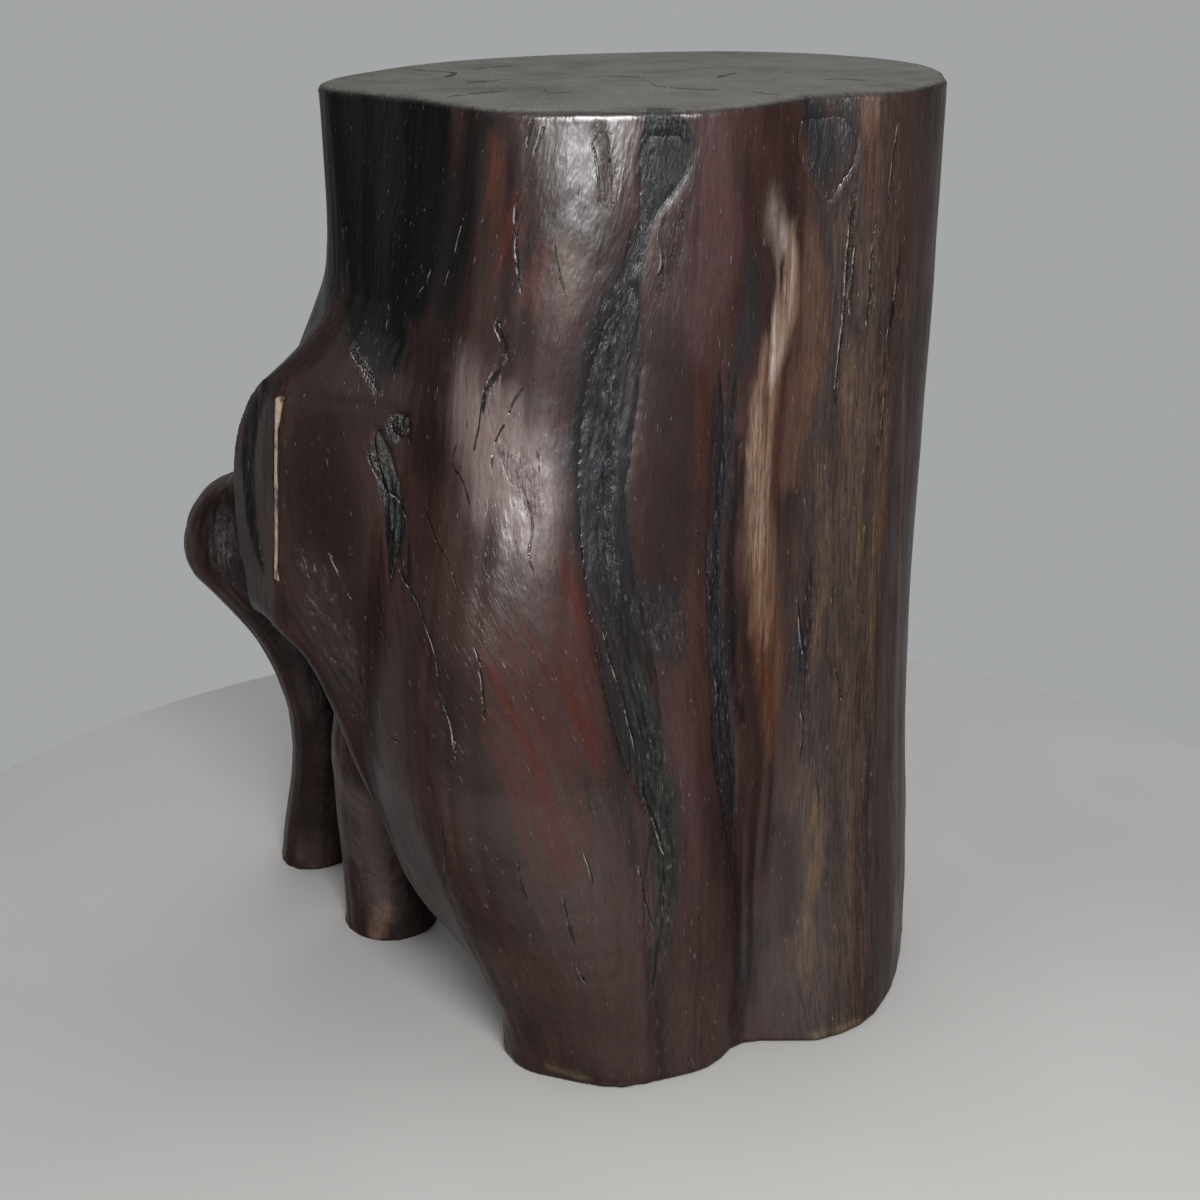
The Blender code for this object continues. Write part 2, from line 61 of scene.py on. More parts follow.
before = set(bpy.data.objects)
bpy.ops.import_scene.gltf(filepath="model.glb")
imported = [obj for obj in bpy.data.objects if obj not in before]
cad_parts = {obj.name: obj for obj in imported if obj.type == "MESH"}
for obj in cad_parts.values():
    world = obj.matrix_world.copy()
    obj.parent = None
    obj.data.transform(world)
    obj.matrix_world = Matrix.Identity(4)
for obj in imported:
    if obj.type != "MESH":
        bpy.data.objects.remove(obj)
CAD_LOW, CAD_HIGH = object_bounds()
SEAT_HEIGHT = CAD_HIGH.z

# The camera, as the photograph's perspective gives it
PHOTO_SIDE = 1200
CAMERA_FOCAL_PIXELS = 1847
CAMERA_PLACE = Vector((-0.0163, -0.84, 0.529))
CAMERA_PITCH = math.radians(21.1)
CAMERA_AHEAD = Vector((0, math.cos(CAMERA_PITCH), -math.sin(CAMERA_PITCH)))
CAMERA_UP = Vector((0, math.sin(CAMERA_PITCH), math.cos(CAMERA_PITCH)))
SENSOR_WIDTH = 36

# Strokes of colour that the photograph shows, broad ones first: colour, strength, roughness that it
# adds, softness in pixels, then its route as x, y and half-width
SEEN_STROKES = (
    ("brown_dark umber", 0.80, 0.15, 30, (
        (866, 115, 52), (862, 300, 62), (852, 500, 64), (846, 700, 64), (840, 1000, 58))),
    ("wood_low", 0.80, 0.0, 60, ((590, 880, 50), (600, 940, 80), (640, 1030, 90), (760, 1000, 80))),
    ("wood_dark", 0.60, 0.0, 24, ((455, 200, 18), (440, 290, 26), (430, 360, 34))),
    ("black", 1.00, 0.0, 14, (
        (402, 98, 94), (402, 180, 90), (394, 250, 80), (380, 310, 58), (386, 352, 30))),
    ("black", 1.00, 0.0, 12, ((342, 100, 30), (342, 180, 28), (338, 240, 26), (326, 290, 20))),
    ("black", 0.75, 0.0, 16, ((478, 110, 22), (468, 170, 22), (456, 240, 26), (446, 300, 22))),
    ("wood_dark", 0.60, 0.0, 20, ((322, 625, 12), (366, 745, 22), (415, 850, 26), (455, 925, 18))),
    ("wood_dark", 0.60, 0.0, 24, ((300, 360, 30), (350, 390, 34), (380, 440, 26))),
    ("wood_dark", 0.90, 0.0, 16, ((290, 610, 12), (300, 660, 12), (306, 740, 14), (302, 830, 12))),
    ("orange", 0.75, 0.0, 8, ((492, 138, 5), (494, 170, 9), (494, 205, 9), (498, 240, 7))),
    ("red red_dark", 0.75, 0.0, 16, (
        (506, 165, 10), (512, 220, 20), (528, 270, 26), (532, 300, 14))),
    ("brown", 0.55, 0.0, 10, ((562, 245, 8), (570, 275, 9), (574, 310, 6))),
    ("red_dark", 0.85, 0.0, 20, ((318, 410, 30), (326, 470, 34), (336, 540, 28))),
    ("red_dark", 0.60, 0.0, 24, ((430, 640, 16), (446, 700, 22), (470, 780, 22), (500, 860, 16))),
    ("rough_grey", 0.15, 0.7, 8, ((498, 322, 5), (505, 350, 6), (494, 380, 8), (482, 412, 5))),
    ("rough_grey", 0.15, 0.8, 8, ((500, 446, 6), (512, 466, 10), (526, 484, 12), (534, 510, 7))),
    ("wood", 0.20, 0.7, 8, ((600, 132, 7), (606, 165, 9), (604, 200, 6))),
    ("rough_grey", 0.20, 0.7, 8, ((684, 205, 4), (672, 240, 8), (668, 262, 9), (658, 300, 5))),
    ("rough_grey", 0.10, 0.6, 8, ((352, 346, 6), (364, 370, 6), (376, 392, 5))),
    ("red_dark", 1.00, 0.0, 18, ((210, 510, 26), (236, 570, 28), (265, 620, 22))),
    ("rough_grey", 0.65, 0.55, 14, (
        (300, 560, 12), (322, 610, 20), (348, 665, 26), (372, 730, 22), (385, 770, 10))),
    ("seam_black", 0.55, 0.9, 8, (
        (376, 455, 3), (385, 480, 5), (396, 520, 12), (404, 550, 12), (408, 578, 6))),
    ("seam_green", 0.70, 0.9, 5, ((378, 478, 3), (392, 505, 5), (402, 532, 8), (407, 556, 6))),
    ("seam_black", 0.50, 1.0, 5, ((396, 416, 5), (394, 429, 10), (390, 442, 5))),
    # Painted sheen over the belly where the lamp's light spreads on the wax, partly a dull wax
    # bloom
    ("bloom", 0.85, 0.0, 36, (
        (464, 385, 24), (468, 405, 36), (498, 450, 44), (520, 500, 44), (530, 545, 16))),
    # Painted sheen that lightens the middle leg
    ("bloom", 0.45, 0.0, 18, ((366, 800, 14), (376, 860, 20), (384, 912, 16))),
    ("olive", 0.60, 0.0, 14, ((436, 520, 12), (448, 575, 18), (462, 625, 16))),
    ("red wood", 0.85, 0.0, 30, ((512, 600, 22), (528, 680, 34), (540, 780, 34), (560, 860, 20))),
    ("red wood", 0.80, 0.0, 20, ((568, 570, 12), (580, 640, 20), (580, 700, 22), (590, 770, 12))),
    ("plum", 0.95, 0.0, 16, (
        (714, 125, 20), (716, 190, 28), (716, 245, 34), (708, 300, 24), (700, 350, 10))),
    ("wood_dark", 0.80, 0.0, 14, ((660, 330, 20), (668, 420, 28), (672, 500, 30), (668, 580, 26))),
    ("seam_blue", 0.60, 0.6, 12, ((632, 598, 16), (662, 618, 28), (676, 650, 16))),
    ("plum", 0.50, 0.0, 12, ((668, 690, 14), (680, 740, 16), (690, 800, 16), (700, 900, 14))),
    ("teal", 0.95, 0.60, 4, (
        (664, 112, 14), (665, 135, 23), (663, 165, 23), (658, 192, 17), (650, 216, 10))),
    ("teal", 0.40, 0.80, 5, ((656, 120, 8), (650, 140, 7), (650, 156, 5))),
    ("seam_black", 0.55, 0.1, 16, (
        (624, 280, 20), (604, 330, 30), (592, 400, 30), (590, 480, 32), (598, 560, 24))),
    ("seam_black seam_blue", 0.90, 0.5, 6, (
        (648, 210, 10), (637, 255, 9), (630, 285, 13), (620, 315, 22), (610, 350, 24))),
    ("seam_black", 0.92, 0.25, 9, (
        (610, 345, 24), (601, 400, 26), (598, 450, 26), (601, 510, 26), (608, 560, 22))),
    ("seam_black", 0.88, 0.35, 8, ((606, 555, 20), (616, 610, 18), (626, 660, 14), (634, 700, 12))),
    ("seam_blue", 0.85, 0.9, 4, (
        (628, 285, 4), (618, 330, 7), (611, 380, 10), (608, 430, 11), (606, 490, 10),
        (608, 530, 7), (614, 580, 5))),
    ("seam_green", 0.80, 0.8, 8, (
        (632, 672, 8), (645, 725, 15), (655, 780, 17), (661, 830, 14), (664, 880, 10),
        (660, 950, 7))),
    ("seam_black", 0.60, 0.4, 8, ((655, 950, 7), (656, 1010, 7), (659, 1078, 7))),
    ("seam_black seam_blue", 0.65, 0.1, 10, ((750, 255, 10), (750, 310, 14), (742, 365, 12))),
    ("seam_blue", 0.75, 0.8, 4, (
        (736, 375, 6), (731, 430, 9), (720, 490, 9), (714, 550, 9), (713, 610, 9), (716, 670, 9))),
    ("seam_blue", 0.65, 0.7, 7, ((716, 665, 8), (722, 720, 14), (729, 775, 13), (731, 810, 8))),
    ("black", 0.85, 0.1, 4, (
        (742, 440, 4), (733, 530, 6), (732, 610, 8), (733, 670, 6), (742, 720, 4))),
    ("black", 0.55, 0.1, 6, (
        (585, 580, 4), (596, 640, 5), (612, 720, 6), (626, 790, 6), (634, 860, 5))),
    ("seam_black", 0.35, 0.4, 12, ((732, 800, 9), (735, 880, 9), (738, 960, 9), (736, 1045, 5))),
    ("seam_blue", 0.55, 0.2, 12, ((752, 900, 6), (752, 950, 15), (750, 1000, 12))),
    ("red", 0.55, 0.0, 5, ((704, 360, 4), (702, 430, 6), (700, 480, 4))),
    ("tan_low orange", 0.90, 0.0, 12, (
        (764, 590, 24), (766, 645, 26), (769, 690, 18), (770, 725, 10), (772, 760, 2))),
    ("tan_low brown", 0.55, 0.0, 9, (
        (808, 228, 6), (810, 280, 18), (810, 330, 20), (802, 380, 20), (792, 430, 18),
        (784, 480, 14))),
    ("orange tan_low", 0.40, 0.0, 8, ((816, 270, 6), (818, 330, 8), (810, 390, 6))),
    ("tan_low umber", 0.75, 0.0, 8, ((868, 330, 2), (864, 390, 9), (860, 440, 9), (858, 520, 2))),
    ("tan_low umber", 0.60, 0.0, 7, ((888, 370, 2), (886, 440, 7), (882, 500, 7), (878, 580, 2))),
    # Painted sheen on the lit top of the worn ridge
    ("bloom tan_pale", 0.50, 0.0, 12, ((776, 190, 2), (776, 220, 10), (784, 250, 12))),
    ("tan", 0.95, 0.0, 8, ((790, 226, 4), (789, 258, 15), (787, 300, 20), (779, 350, 21))),
    ("tan tan_low", 0.90, 0.0, 11, (
        (780, 345, 19), (769, 400, 20), (763, 450, 22), (762, 505, 24), (763, 550, 26),
        (765, 595, 22), (767, 640, 10))),
    # Pale tan with a painted highlight on the ridge's lit top
    ("tan_pale tan", 0.95, 0.0, 8, (
        (789, 230, 5), (790, 256, 14), (787, 290, 17), (783, 328, 17), (777, 368, 8))),
    ("brown_dark", 0.30, 1.0, 4, (
        (853, 185, 2), (849, 235, 6), (847, 280, 6), (843, 322, 5), (838, 370, 4), (834, 418, 2))),
    ("brown_dark", 0.30, 1.0, 4, (
        (902, 240, 2), (896, 290, 5), (888, 345, 4), (882, 420, 5), (878, 470, 2))),
    ("brown_dark", 0.30, 0.9, 4, ((876, 200, 1), (873, 240, 3), (870, 290, 4), (866, 335, 2))),
    ("seam_black", 0.30, 0.9, 5, ((812, 560, 3), (810, 600, 8), (808, 650, 8), (808, 700, 4))),
    # Faint pale tan down the ridge, with a little painted sheen
    ("tan_pale tan", 0.10, 0.1, 8, ((776, 350, 8), (764, 430, 10), (762, 490, 10), (766, 550, 6))),
    ("black", 0.80, 0.0, 2.5, (
        (676, 113, 2), (688, 128, 2.5), (690, 150, 2.5), (683, 175, 2), (672, 196, 1.5))),
    ("brown_dark", 0.80, 0.2, 6, (
        (838, 240, 5), (838, 320, 6), (824, 420, 8), (808, 520, 8), (802, 620, 8), (806, 760, 8))),
    ("teal", 0.85, 0.25, 8, ((812, 100, 14), (817, 132, 16), (822, 158, 10), (821, 182, 3))),
    ("teal", 0.60, 0.25, 6, ((845, 98, 8), (842, 130, 8), (836, 160, 5))),
    ("teal", 0.30, 0.70, 5, ((808, 150, 3), (812, 168, 5), (822, 184, 3))),
    ("tan_low tan", 0.38, 0.1, 6, ((871, 92, 12), (870, 115, 11), (867, 130, 7))),
    ("tan_low orange", 0.50, 0.0, 8, ((872, 125, 9), (872, 165, 10), (868, 210, 7))),
    ("brown umber", 0.85, 0.2, 6, (
        (850, 330, 1), (852, 400, 8), (856, 470, 10), (858, 540, 8), (856, 620, 1))),
    ("brown umber", 0.80, 0.2, 6, (
        (886, 340, 1), (884, 420, 7), (880, 500, 9), (874, 600, 9), (872, 720, 1))),
    ("brown umber", 0.70, 0.2, 5, (
        (818, 420, 1), (822, 490, 5), (826, 540, 7), (822, 610, 6), (816, 710, 1))),
    ("brown", 0.85, 0.2, 5, (
        (906, 290, 1), (902, 480, 5), (898, 620, 6), (896, 780, 6), (896, 930, 1))),
    ("brown umber", 0.60, 0.2, 5, ((846, 640, 1), (850, 760, 6), (852, 880, 6), (850, 980, 1))),
    ("black", 0.70, 0.2, 2, (
        (892, 480, 1.5), (889, 560, 2), (889, 660, 2), (890, 780, 2), (894, 900, 2))),
    ("black", 0.70, 0.2, 2, ((925, 200, 1.5), (916, 320, 2), (906, 450, 2), (902, 560, 2))),
    ("brown", 0.75, 0.1, 6, (
        (818, 790, 5), (815, 830, 9), (812, 880, 9), (806, 930, 8), (805, 985, 6))),
    ("red_dark", 0.70, 0.0, 10, ((780, 820, 10), (786, 880, 12), (786, 930, 8))),
    ("facet", 0.95, 0.8, 4, (
        (263, 392, 7), (252, 425, 16), (248, 475, 20), (252, 520, 18), (262, 565, 8))),
    ("tan", 0.60, 0.1, 6, ((384, 908, 8), (380, 922, 10), (376, 934, 8))),
    ("rim_dirt", 0.80, 0.3, 4, ((548, 1066, 4), (566, 1073, 4), (584, 1079, 4))),
    ("rim_dirt", 0.80, 0.3, 4, ((812, 1036, 3), (836, 1030, 4), (858, 1022, 4))),
)

# Strokes round the sides that the photograph hides: the route has directions, shares of the height
# and half-widths in metres, and its softness is in metres too
HIDDEN_STROKES = (
    ("brown_dark", 0.60, 0.1, 0.020, ((8, 0.97, 0.030), (10, 0.5, 0.034), (8, 0.04, 0.03))),
    ("brown", 0.70, 0.1, 0.005, (
        (3, 0.98, 0.003), (5, 0.7, 0.005), (3, 0.4, 0.004), (6, 0.1, 0.003))),
    ("black", 0.70, 0.2, 0.003, (
        (15, 0.98, 0.002), (16, 0.7, 0.003), (13, 0.4, 0.003), (16, 0.05, 0.002))),
    ("seam_blue", 0.75, 0.8, 0.005, (
        (29, 0.99, 0.008), (31, 0.85, 0.006), (28, 0.65, 0.004), (32, 0.4, 0.005))),
    ("tan", 0.85, 0.1, 0.005, (
        (50, 0.98, 0.006), (52, 0.75, 0.008), (49, 0.50, 0.006), (52, 0.30, 0.003))),
    ("red", 0.60, 0.0, 0.016, ((70, 0.85, 0.014), (73, 0.60, 0.020), (70, 0.30, 0.014))),
    ("seam_black", 0.75, 0.6, 0.006, (
        (96, 0.80, 0.004), (99, 0.55, 0.008), (97, 0.35, 0.007), (101, 0.05, 0.004))),
    ("black", 0.80, 0.0, 0.014, ((118, 0.98, 0.012), (120, 0.80, 0.016), (122, 0.66, 0.008))),
    ("orange", 0.55, 0.0, 0.012, ((134, 0.80, 0.006), (137, 0.66, 0.010), (133, 0.52, 0.006))),
    ("brown", 0.60, 0.1, 0.006, ((84, 0.97, 0.004), (87, 0.72, 0.006), (84, 0.5, 0.004))),
    ("black", 0.90, 0.0, 0.014, ((152, 0.98, 0.030), (155, 0.85, 0.026), (157, 0.72, 0.014))),
    ("black", 0.90, 0.0, 0.014, ((180, 0.98, 0.024), (178, 0.85, 0.020), (176, 0.74, 0.010))),
    ("red_dark", 0.60, 0.0, 0.016, ((146, 0.60, 0.012), (142, 0.45, 0.018), (134, 0.25, 0.014))),
    ("rough_grey", 0.60, 0.5, 0.008, ((112, 0.40, 0.006), (116, 0.28, 0.012), (112, 0.12, 0.006))),
)

# Cracks that the photograph shows: half-width in millimetres, paleness of the lip, which is a
# painted glint, route in pixels
SEEN_CRACKS = (
    (0.9, 0.9, ((354, 338), (354, 352), (366, 370), (374, 382), (380, 397))),
    (0.6, 0.9, ((364, 437), (373, 466), (388, 489), (400, 500), (410, 524))),
    (0.6, 0.9, (
        (396, 554), (402, 576), (417, 600), (427, 634), (436, 658), (441, 696), (452, 730),
        (458, 772))),
    (0.5, 0.8, ((422, 503), (430, 526), (450, 566), (456, 588), (464, 600))),
    (0.5, 0.8, ((473, 641), (479, 662), (483, 690), (485, 724))),
    (0.6, 0.2, ((526, 492), (532, 524), (529, 556), (535, 578))),
    (0.5, 0.2, ((456, 440), (452, 463), (463, 483), (470, 510))),
    (0.5, 0.3, ((487, 380), (479, 418), (470, 458))),
    (0.5, 0.2, ((526, 384), (514, 402), (499, 434), (491, 455), (491, 474))),
    (0.4, 0.2, ((537, 450), (539, 462), (539, 472))),
    (1.1, 0.9, ((497, 318), (499, 330), (505, 344), (508, 360))),
    (1.0, 0.9, ((500, 366), (492, 382), (486, 396), (482, 416))),
    (0.5, 1.0, ((517, 190), (515, 222), (516, 245), (519, 275), (521, 298))),
    (0.4, 0.3, ((555, 243), (559, 270), (566, 300))),
    (0.5, 0.8, ((531, 118), (529, 134), (527, 148))),
    (0.5, 0.8, ((545, 122), (540, 140), (533, 158))),
    (0.6, 0.3, ((592, 140), (597, 165), (601, 200))),
    (0.5, 0.3, ((606, 132), (610, 160), (611, 190))),
    (0.6, 0.8, ((468, 208), (460, 234), (453, 262), (444, 288))),
    (0.7, 0.7, ((438, 256), (429, 278), (417, 300))),
    (0.5, 0.6, ((426, 208), (416, 226), (408, 252))),
    (0.6, 0.9, ((389, 300), (389, 318), (386, 330))),
    (0.5, 0.7, ((347, 262), (351, 282), (350, 300))),
    (0.7, 0.6, ((331, 250), (326, 278), (317, 305), (306, 340))),
    (0.5, 0.8, ((603, 610), (608, 652), (626, 710), (639, 773))),
    (0.6, 0.9, ((640, 780), (648, 805), (657, 826), (665, 858))),
    (0.4, 0.7, ((637, 862), (645, 898), (655, 932))),
    (0.7, 0.8, ((632, 225), (628, 250), (616, 290))),
    (0.6, 0.7, ((668, 210), (660, 235), (664, 262), (656, 282))),
    (0.4, 0.9, ((584, 852), (590, 870), (594, 885))),
    (0.5, 1.0, ((577, 966), (583, 978), (586, 984))),
    (0.4, 0.7, ((563, 895), (567, 915), (576, 950))),
    (0.5, 1.0, ((852, 190), (850, 235), (847, 280), (843, 322), (838, 370), (834, 418))),
    (0.4, 1.0, ((857, 240), (853, 280), (850, 318))),
    (0.5, 1.0, ((899, 256), (895, 300), (886, 348))),
    (0.4, 0.9, ((886, 392), (883, 430), (879, 450))),
    (0.4, 0.9, ((916, 378), (914, 396), (913, 412))),
    (0.4, 0.9, ((874, 242), (870, 290), (866, 330))),
    (0.4, 0.9, ((900, 120), (893, 160), (888, 205))),
    (0.5, 0.8, ((797, 596), (802, 640), (806, 665))),
    (0.5, 0.8, ((835, 660), (838, 680), (843, 702))),
    (0.4, 0.7, ((800, 700), (803, 730), (800, 760))),
    (0.4, 0.7, ((815, 770), (818, 790), (817, 810))),
    (0.5, 0.8, ((713, 660), (717, 690), (716, 715))),
    (0.4, 0.8, ((260, 540), (262, 552), (264, 562))),
    (0.4, 0.8, ((268, 402), (266, 412), (267, 422))),
    (0.4, 0.7, ((297, 545), (306, 562), (312, 585))),
    (0.4, 0.7, ((330, 555), (342, 578), (352, 600))),
    (0.4, 0.7, ((378, 625), (388, 642), (392, 656))),
    (0.5, 0.7, ((370, 660), (378, 700), (384, 730), (404, 745))),
    (0.4, 0.5, ((440, 800), (444, 860), (448, 910))),
    (0.4, 0.6, ((518, 855), (520, 880), (528, 900))),
    (1.8, 0.0, ((409, 69), (430, 71), (454, 73), (444, 78))),
    (1.5, 0.0, ((471, 70), (495, 67), (519, 66))),
    (2.2, 0.0, ((465, 83), (490, 81), (512, 79))),
    (1.7, 0.0, ((446, 97), (480, 93), (513, 90))),
    (1.5, 0.0, ((545, 93), (558, 93), (572, 91))),
    (2.0, 0.0, ((653, 86), (690, 89), (723, 90))),
    (2.2, 0.0, ((718, 78), (726, 75), (737, 73))),
    (1.5, 0.0, ((760, 93), (782, 95))),
    (1.4, 0.0, ((590, 78), (612, 76), (640, 77))),
    (1.3, 0.0, ((820, 80), (846, 79), (868, 81))),
)

# The same round the hidden sides: the route has directions and shares of the height
HIDDEN_CRACKS = (
    (0.5, 0.8, ((2, 0.90), (1, 0.78), (3, 0.66))),
    (0.5, 0.7, ((22, 0.80), (21, 0.66), (23, 0.52))),
    (0.6, 0.8, ((30, 0.72), (29, 0.58), (31, 0.44), (30, 0.34))),
    (0.4, 0.6, ((44, 0.5), (45, 0.36), (43, 0.22))),
    (0.5, 0.7, ((66, 0.92), (67, 0.80), (65, 0.70))),
    (0.5, 0.5, ((78, 0.56), (79, 0.44), (77, 0.34))),
    (0.6, 0.8, ((97, 0.66), (99, 0.52), (97, 0.38))),
    (0.5, 0.6, ((108, 0.90), (107, 0.78), (110, 0.64))),
    (0.5, 0.7, ((128, 0.74), (131, 0.62), (130, 0.50))),
    (0.5, 0.7, ((148, 0.66), (146, 0.56), (141, 0.44))),
    (0.6, 0.7, ((166, 0.92), (167, 0.82), (170, 0.74))),
    (0.4, 0.6, ((56, 0.18), (57, 0.10), (55, 0.03))),
    (0.4, 0.6, ((352, 0.60), (351, 0.46), (353, 0.30))),
)

# The flow of the grain: directions at rising shares of the height, one line for each label.
# The label is the direction that the line would have in a straight log.
FLOW_HEIGHT_SHARES = (0.00, 0.10, 0.20, 0.30, 0.42, 0.52, 0.60, 0.70, 0.77, 0.86, 0.93, 1.00)
FLOW_LINES = (
    (120, (120,) * len(FLOW_HEIGHT_SHARES)),
    (160, (165, 165, 165, 165, 164, 163, 163, 163, 163, 162, 161, 160)),
    (182, (192, 192, 190, 188, 186, 184, 184, 184, 185, 185, 184, 182)),
    (200, (236, 228, 222, 213, 203, 197, 196, 197, 198, 199, 200, 200)),
    (222, (258, 256, 254, 250, 243, 234, 223, 215, 210, 213, 218, 222)),
    (268, (274, 274, 273, 273, 271, 267, 264, 263, 265, 269, 272, 274)),
    (287, (303, 299, 297, 294, 290, 288, 287, 287, 287, 286, 286, 287)),
    (315, (313, 310, 309, 311, 313, 314, 314, 314, 315, 316, 317, 319)),
    *((label, (label,) * len(FLOW_HEIGHT_SHARES)) for label in (345, 380, 430, 480)),
)
FLOW_START = 120
GRAIN_RADIUS = 0.13

# The solids that fill pockets of the trunk: the dark and light colours under each bark's strokes,
# its relief and its least roughness
BARK_NODES = {
    "bark_seam_top": ("wood_dark", "wood", 0.5, 0.15),
    "bark_seam_belly": ("wood_dark", "seam_black", 1.0, 0.15),
    "bark_seam_foot": ("wood_dark", "wood", 0.8, 0.15),
    "bark_seam_middle": ("wood_dark", "seam_black", 0.8, 0.15),
    "bark_patch_right": ("wood_dark", "wood", 0.3, 0.15),
    "bark_pocket_knee": ("black", "seam_green", 1.2, 0.8),
}
KNOT_NODE = "knot_front_left"
FILLER_NODE = "crack_filler_knee"

# The colours whose wood shows its fibres
FIBROUS = ("brown_dark", "brown", "tan", "tan_pale", "orange")

# The trunk's skin: the most triangles it has, and how close two corners of a CAD node are one
MOST_TRIANGLES = 192000
MERGE = 0.00001

# The edges that stay crisp: their least angle, the step of the points along them, how far from the
# floor and the seat they lie, the middle of the knee's flat cut in pixels, and its reach
SHARP_ANGLE = 25
SHARP_STEP = 0.002
SHARP_END = 0.008
FACET_PLACE = (252, 475)
FACET_REACH = 0.050

# The smoothing between them: where it begins and where it is full, its least share, its pull and
# its rounds, and how close to an edge the skin lies on the solid, fully and at all
SMOOTH_NEAR = 0.001
SMOOTH_FAR = 0.008
SMOOTH_LEAST = 0.06
SMOOTH_PULL = 0.5
SMOOTH_ROUNDS = 30
EDGE_NEAR = 0.0016
EDGE_FAR = 0.0034

# The skin over the pockets: how far an inlay is grown to close its gap, how far crisp edges stay
# from it, then the gap, the width and the depth of the dip over it, and the dip over narrow ones
INLAY_GROWTH = 0.0006
INLAY_CLEAR = 0.002
INLAY_GAP = 0.0005
INLAY_RIM = 0.0045
INLAY_SINK = 0.0011
NARROW_SINK = 0.0014
NARROW_REACH = 0.0009
NARROW_START = 1.6

# The pieces in the wood: what the finer fibres and the fibres of smooth bark weigh, how far each
# piece rises inside its rim, and how wide the rim is
FINE_BARK_SHARE = 0.5
SMOOTH_BARK_SHARE = 0.3
BARK_RISE = 0.0004
KNOT_RIM = 0.0015
FILLER_RISE = 0.0010
FILLER_RIM = 0.0008
FILLER_GRAIN = 0.0002
KNOT_ROUGHNESS = 0.9

# Routes: their step, the lowest and highest share of the height that meets the wood's side, and
# how far out from the log's axis the search for it starts
ROUTE_STEP = 0.002
ROUTE_LOWEST = 0.012
ROUTE_HIGHEST = 0.985
OUTSIDE = 0.5

# Cracks: how far they are felt, the share at each end in which they taper, and their fade
CRACK_REACH = 0.005
CRACK_TAPER = 0.15
CRACK_FADE = 0.002
CRACK_LAYERS = ("crack_a", "crack_b", "crack_c", "crack_d")

# The arch's inside, darkened with painted shade: left of this and below this, each with its fade,
# then how rough it is and how strongly the painted shade darkens it, then how far the walls below a
# height that look forward, into the light, are spared that
HOLLOW_LEFT = -0.045
HOLLOW_LEFT_FADE = 0.015
HOLLOW_TOP = 0.215
HOLLOW_TOP_FADE = 0.03
HOLLOW_ROUGH = 0.8
HOLLOW_SHADE_STRENGTH = 0.85
SHOWN_STRENGTH = 0.7
SHOWN_TOP = 0.16
SHOWN_FADE = 0.04

# The seat and the undersides lie this close to the ends of the log
END_DEPTH = 0.006

# How a face has to look to count, and its fade: a stroke's way, away from the log's axis, towards
# it, forward, up and down, each from -1 to 1
STROKE_FACING, STROKE_FACING_FADE = -0.1, 0.5
OUTER_FACING, OUTER_FACING_FADE = 0.1, 0.4
INNER_FACING, INNER_FACING_FADE = -0.05, 0.35
SHOWN_FACING, SHOWN_FACING_FADE = -0.3, 0.4
UP_FACING, UP_FACING_FADE = 0.5, 0.4
DOWN_FACING, DOWN_FACING_FADE = -0.6, 0.3

# The dark line under the seat's edge: its depth, its fade, its strength, and the share of end
# grain at which it begins to give way, with that fade
RIM_DEPTH = 0.0022
RIM_FADE = 0.0010
RIM_STRENGTH = 0.6
RIM_END, RIM_END_FADE = 0.85, 0.15

# Patterns: the size of the noise along each axis, and where in the noise it is read
WAVES_IN_GRAIN = ((0.012, 0.012, 0.10), 3.7)
WAVES_IN_PLACE = ((0.024, 0.024, 0.034), 9.1)
BROAD_IN_GRAIN = ((0.016, 0.016, 0.10), 1.3)
BROAD_IN_PLACE = ((0.022, 0.022, 0.030), 6.1)
STREAKS = ((0.0050, 0.0050, 0.060), 4.1)
THREADS = ((0.0022, 0.0022, 0.030), 7.7)
TORN_FIBRES = ((0.0040, 0.0040, 0.026), 5.3)
BARK_FIBRES = ((0.0022, 0.0022, 0.020), 2.2)
FINE_BARK_FIBRES = ((0.0012, 0.0012, 0.009), 6.4)
KNOT_SWIRL = ((0.0018, 0.0018, 0.0018), 8.2)

# What the broad pattern, the streaks and the threads weigh between a piece's dark and light
# colours, what the last two weigh between a stroke's two colours, and how far all fray its edge
BROAD_WEIGHT = 0.6
FINE_WEIGHT = 0.25
STREAK_BLEND = 0.9
THREAD_BLEND = 0.6
FRAY_FINE = 0.0024
FRAY_BROAD = 0.0016

# Noises of the materials: scale, stretch along the third axis, detail, roughness. Those of the
# grain are drawn out along it.
FINE_NOISE = (700, 0.10, 4, 0.7)
HAIR_NOISE = (1700, 0.12, 2, 0.7)
PORE_NOISE = (1300, 0.10, 2, 0.5)
TORN_NOISE = (820, 0.22, 4, 0.65)
DIMPLE_NOISE = (130, 0.40, 3, 0.6)
STRAND_NOISE = (820, 0.065, 4, 0.75)
DUST_AND_GLINT_NOISE = (1000, 0.16, 3, 0.6)
SWAY_NOISE = (260, 0.3, 3, 0.6)
LIP_NOISE = (260, 0.35, 4, 0.75)
CLOUD_NOISE = (26, 1.0, 3, 0.6)
GRIT_NOISE = (700, 1.0, 2, 0.6)
MOTTLE_NOISE = (30, 1.0, 6, 0.75)
BREAK_NOISE = (190, 1.0, 2, 0.6)
SPECK_NOISE = (480, 0.25, 4, 0.7)
STAGE_NOISE = (3, 1.0, 3, 0.5)

# How strongly each mark covers the paint
PORE_COVER = 0.6
PIT_COVER = 0.8
FLECK_AND_GLINT_COVER = 0.3
DUST_AND_GLINT_COVER = 0.35
CRACK_COVER = 0.9
LIP_GLINT_COVER = 0.75

# The relief of the materials in metres
FINE_RELIEF = 0.00004
DIMPLE_RELIEF = 0.0006
GRIT_RELIEF = 0.00012
CRACK_RELIEF = -0.0004
LIP_RELIEF = 0.0001
SPECK_RELIEF = 0.0005

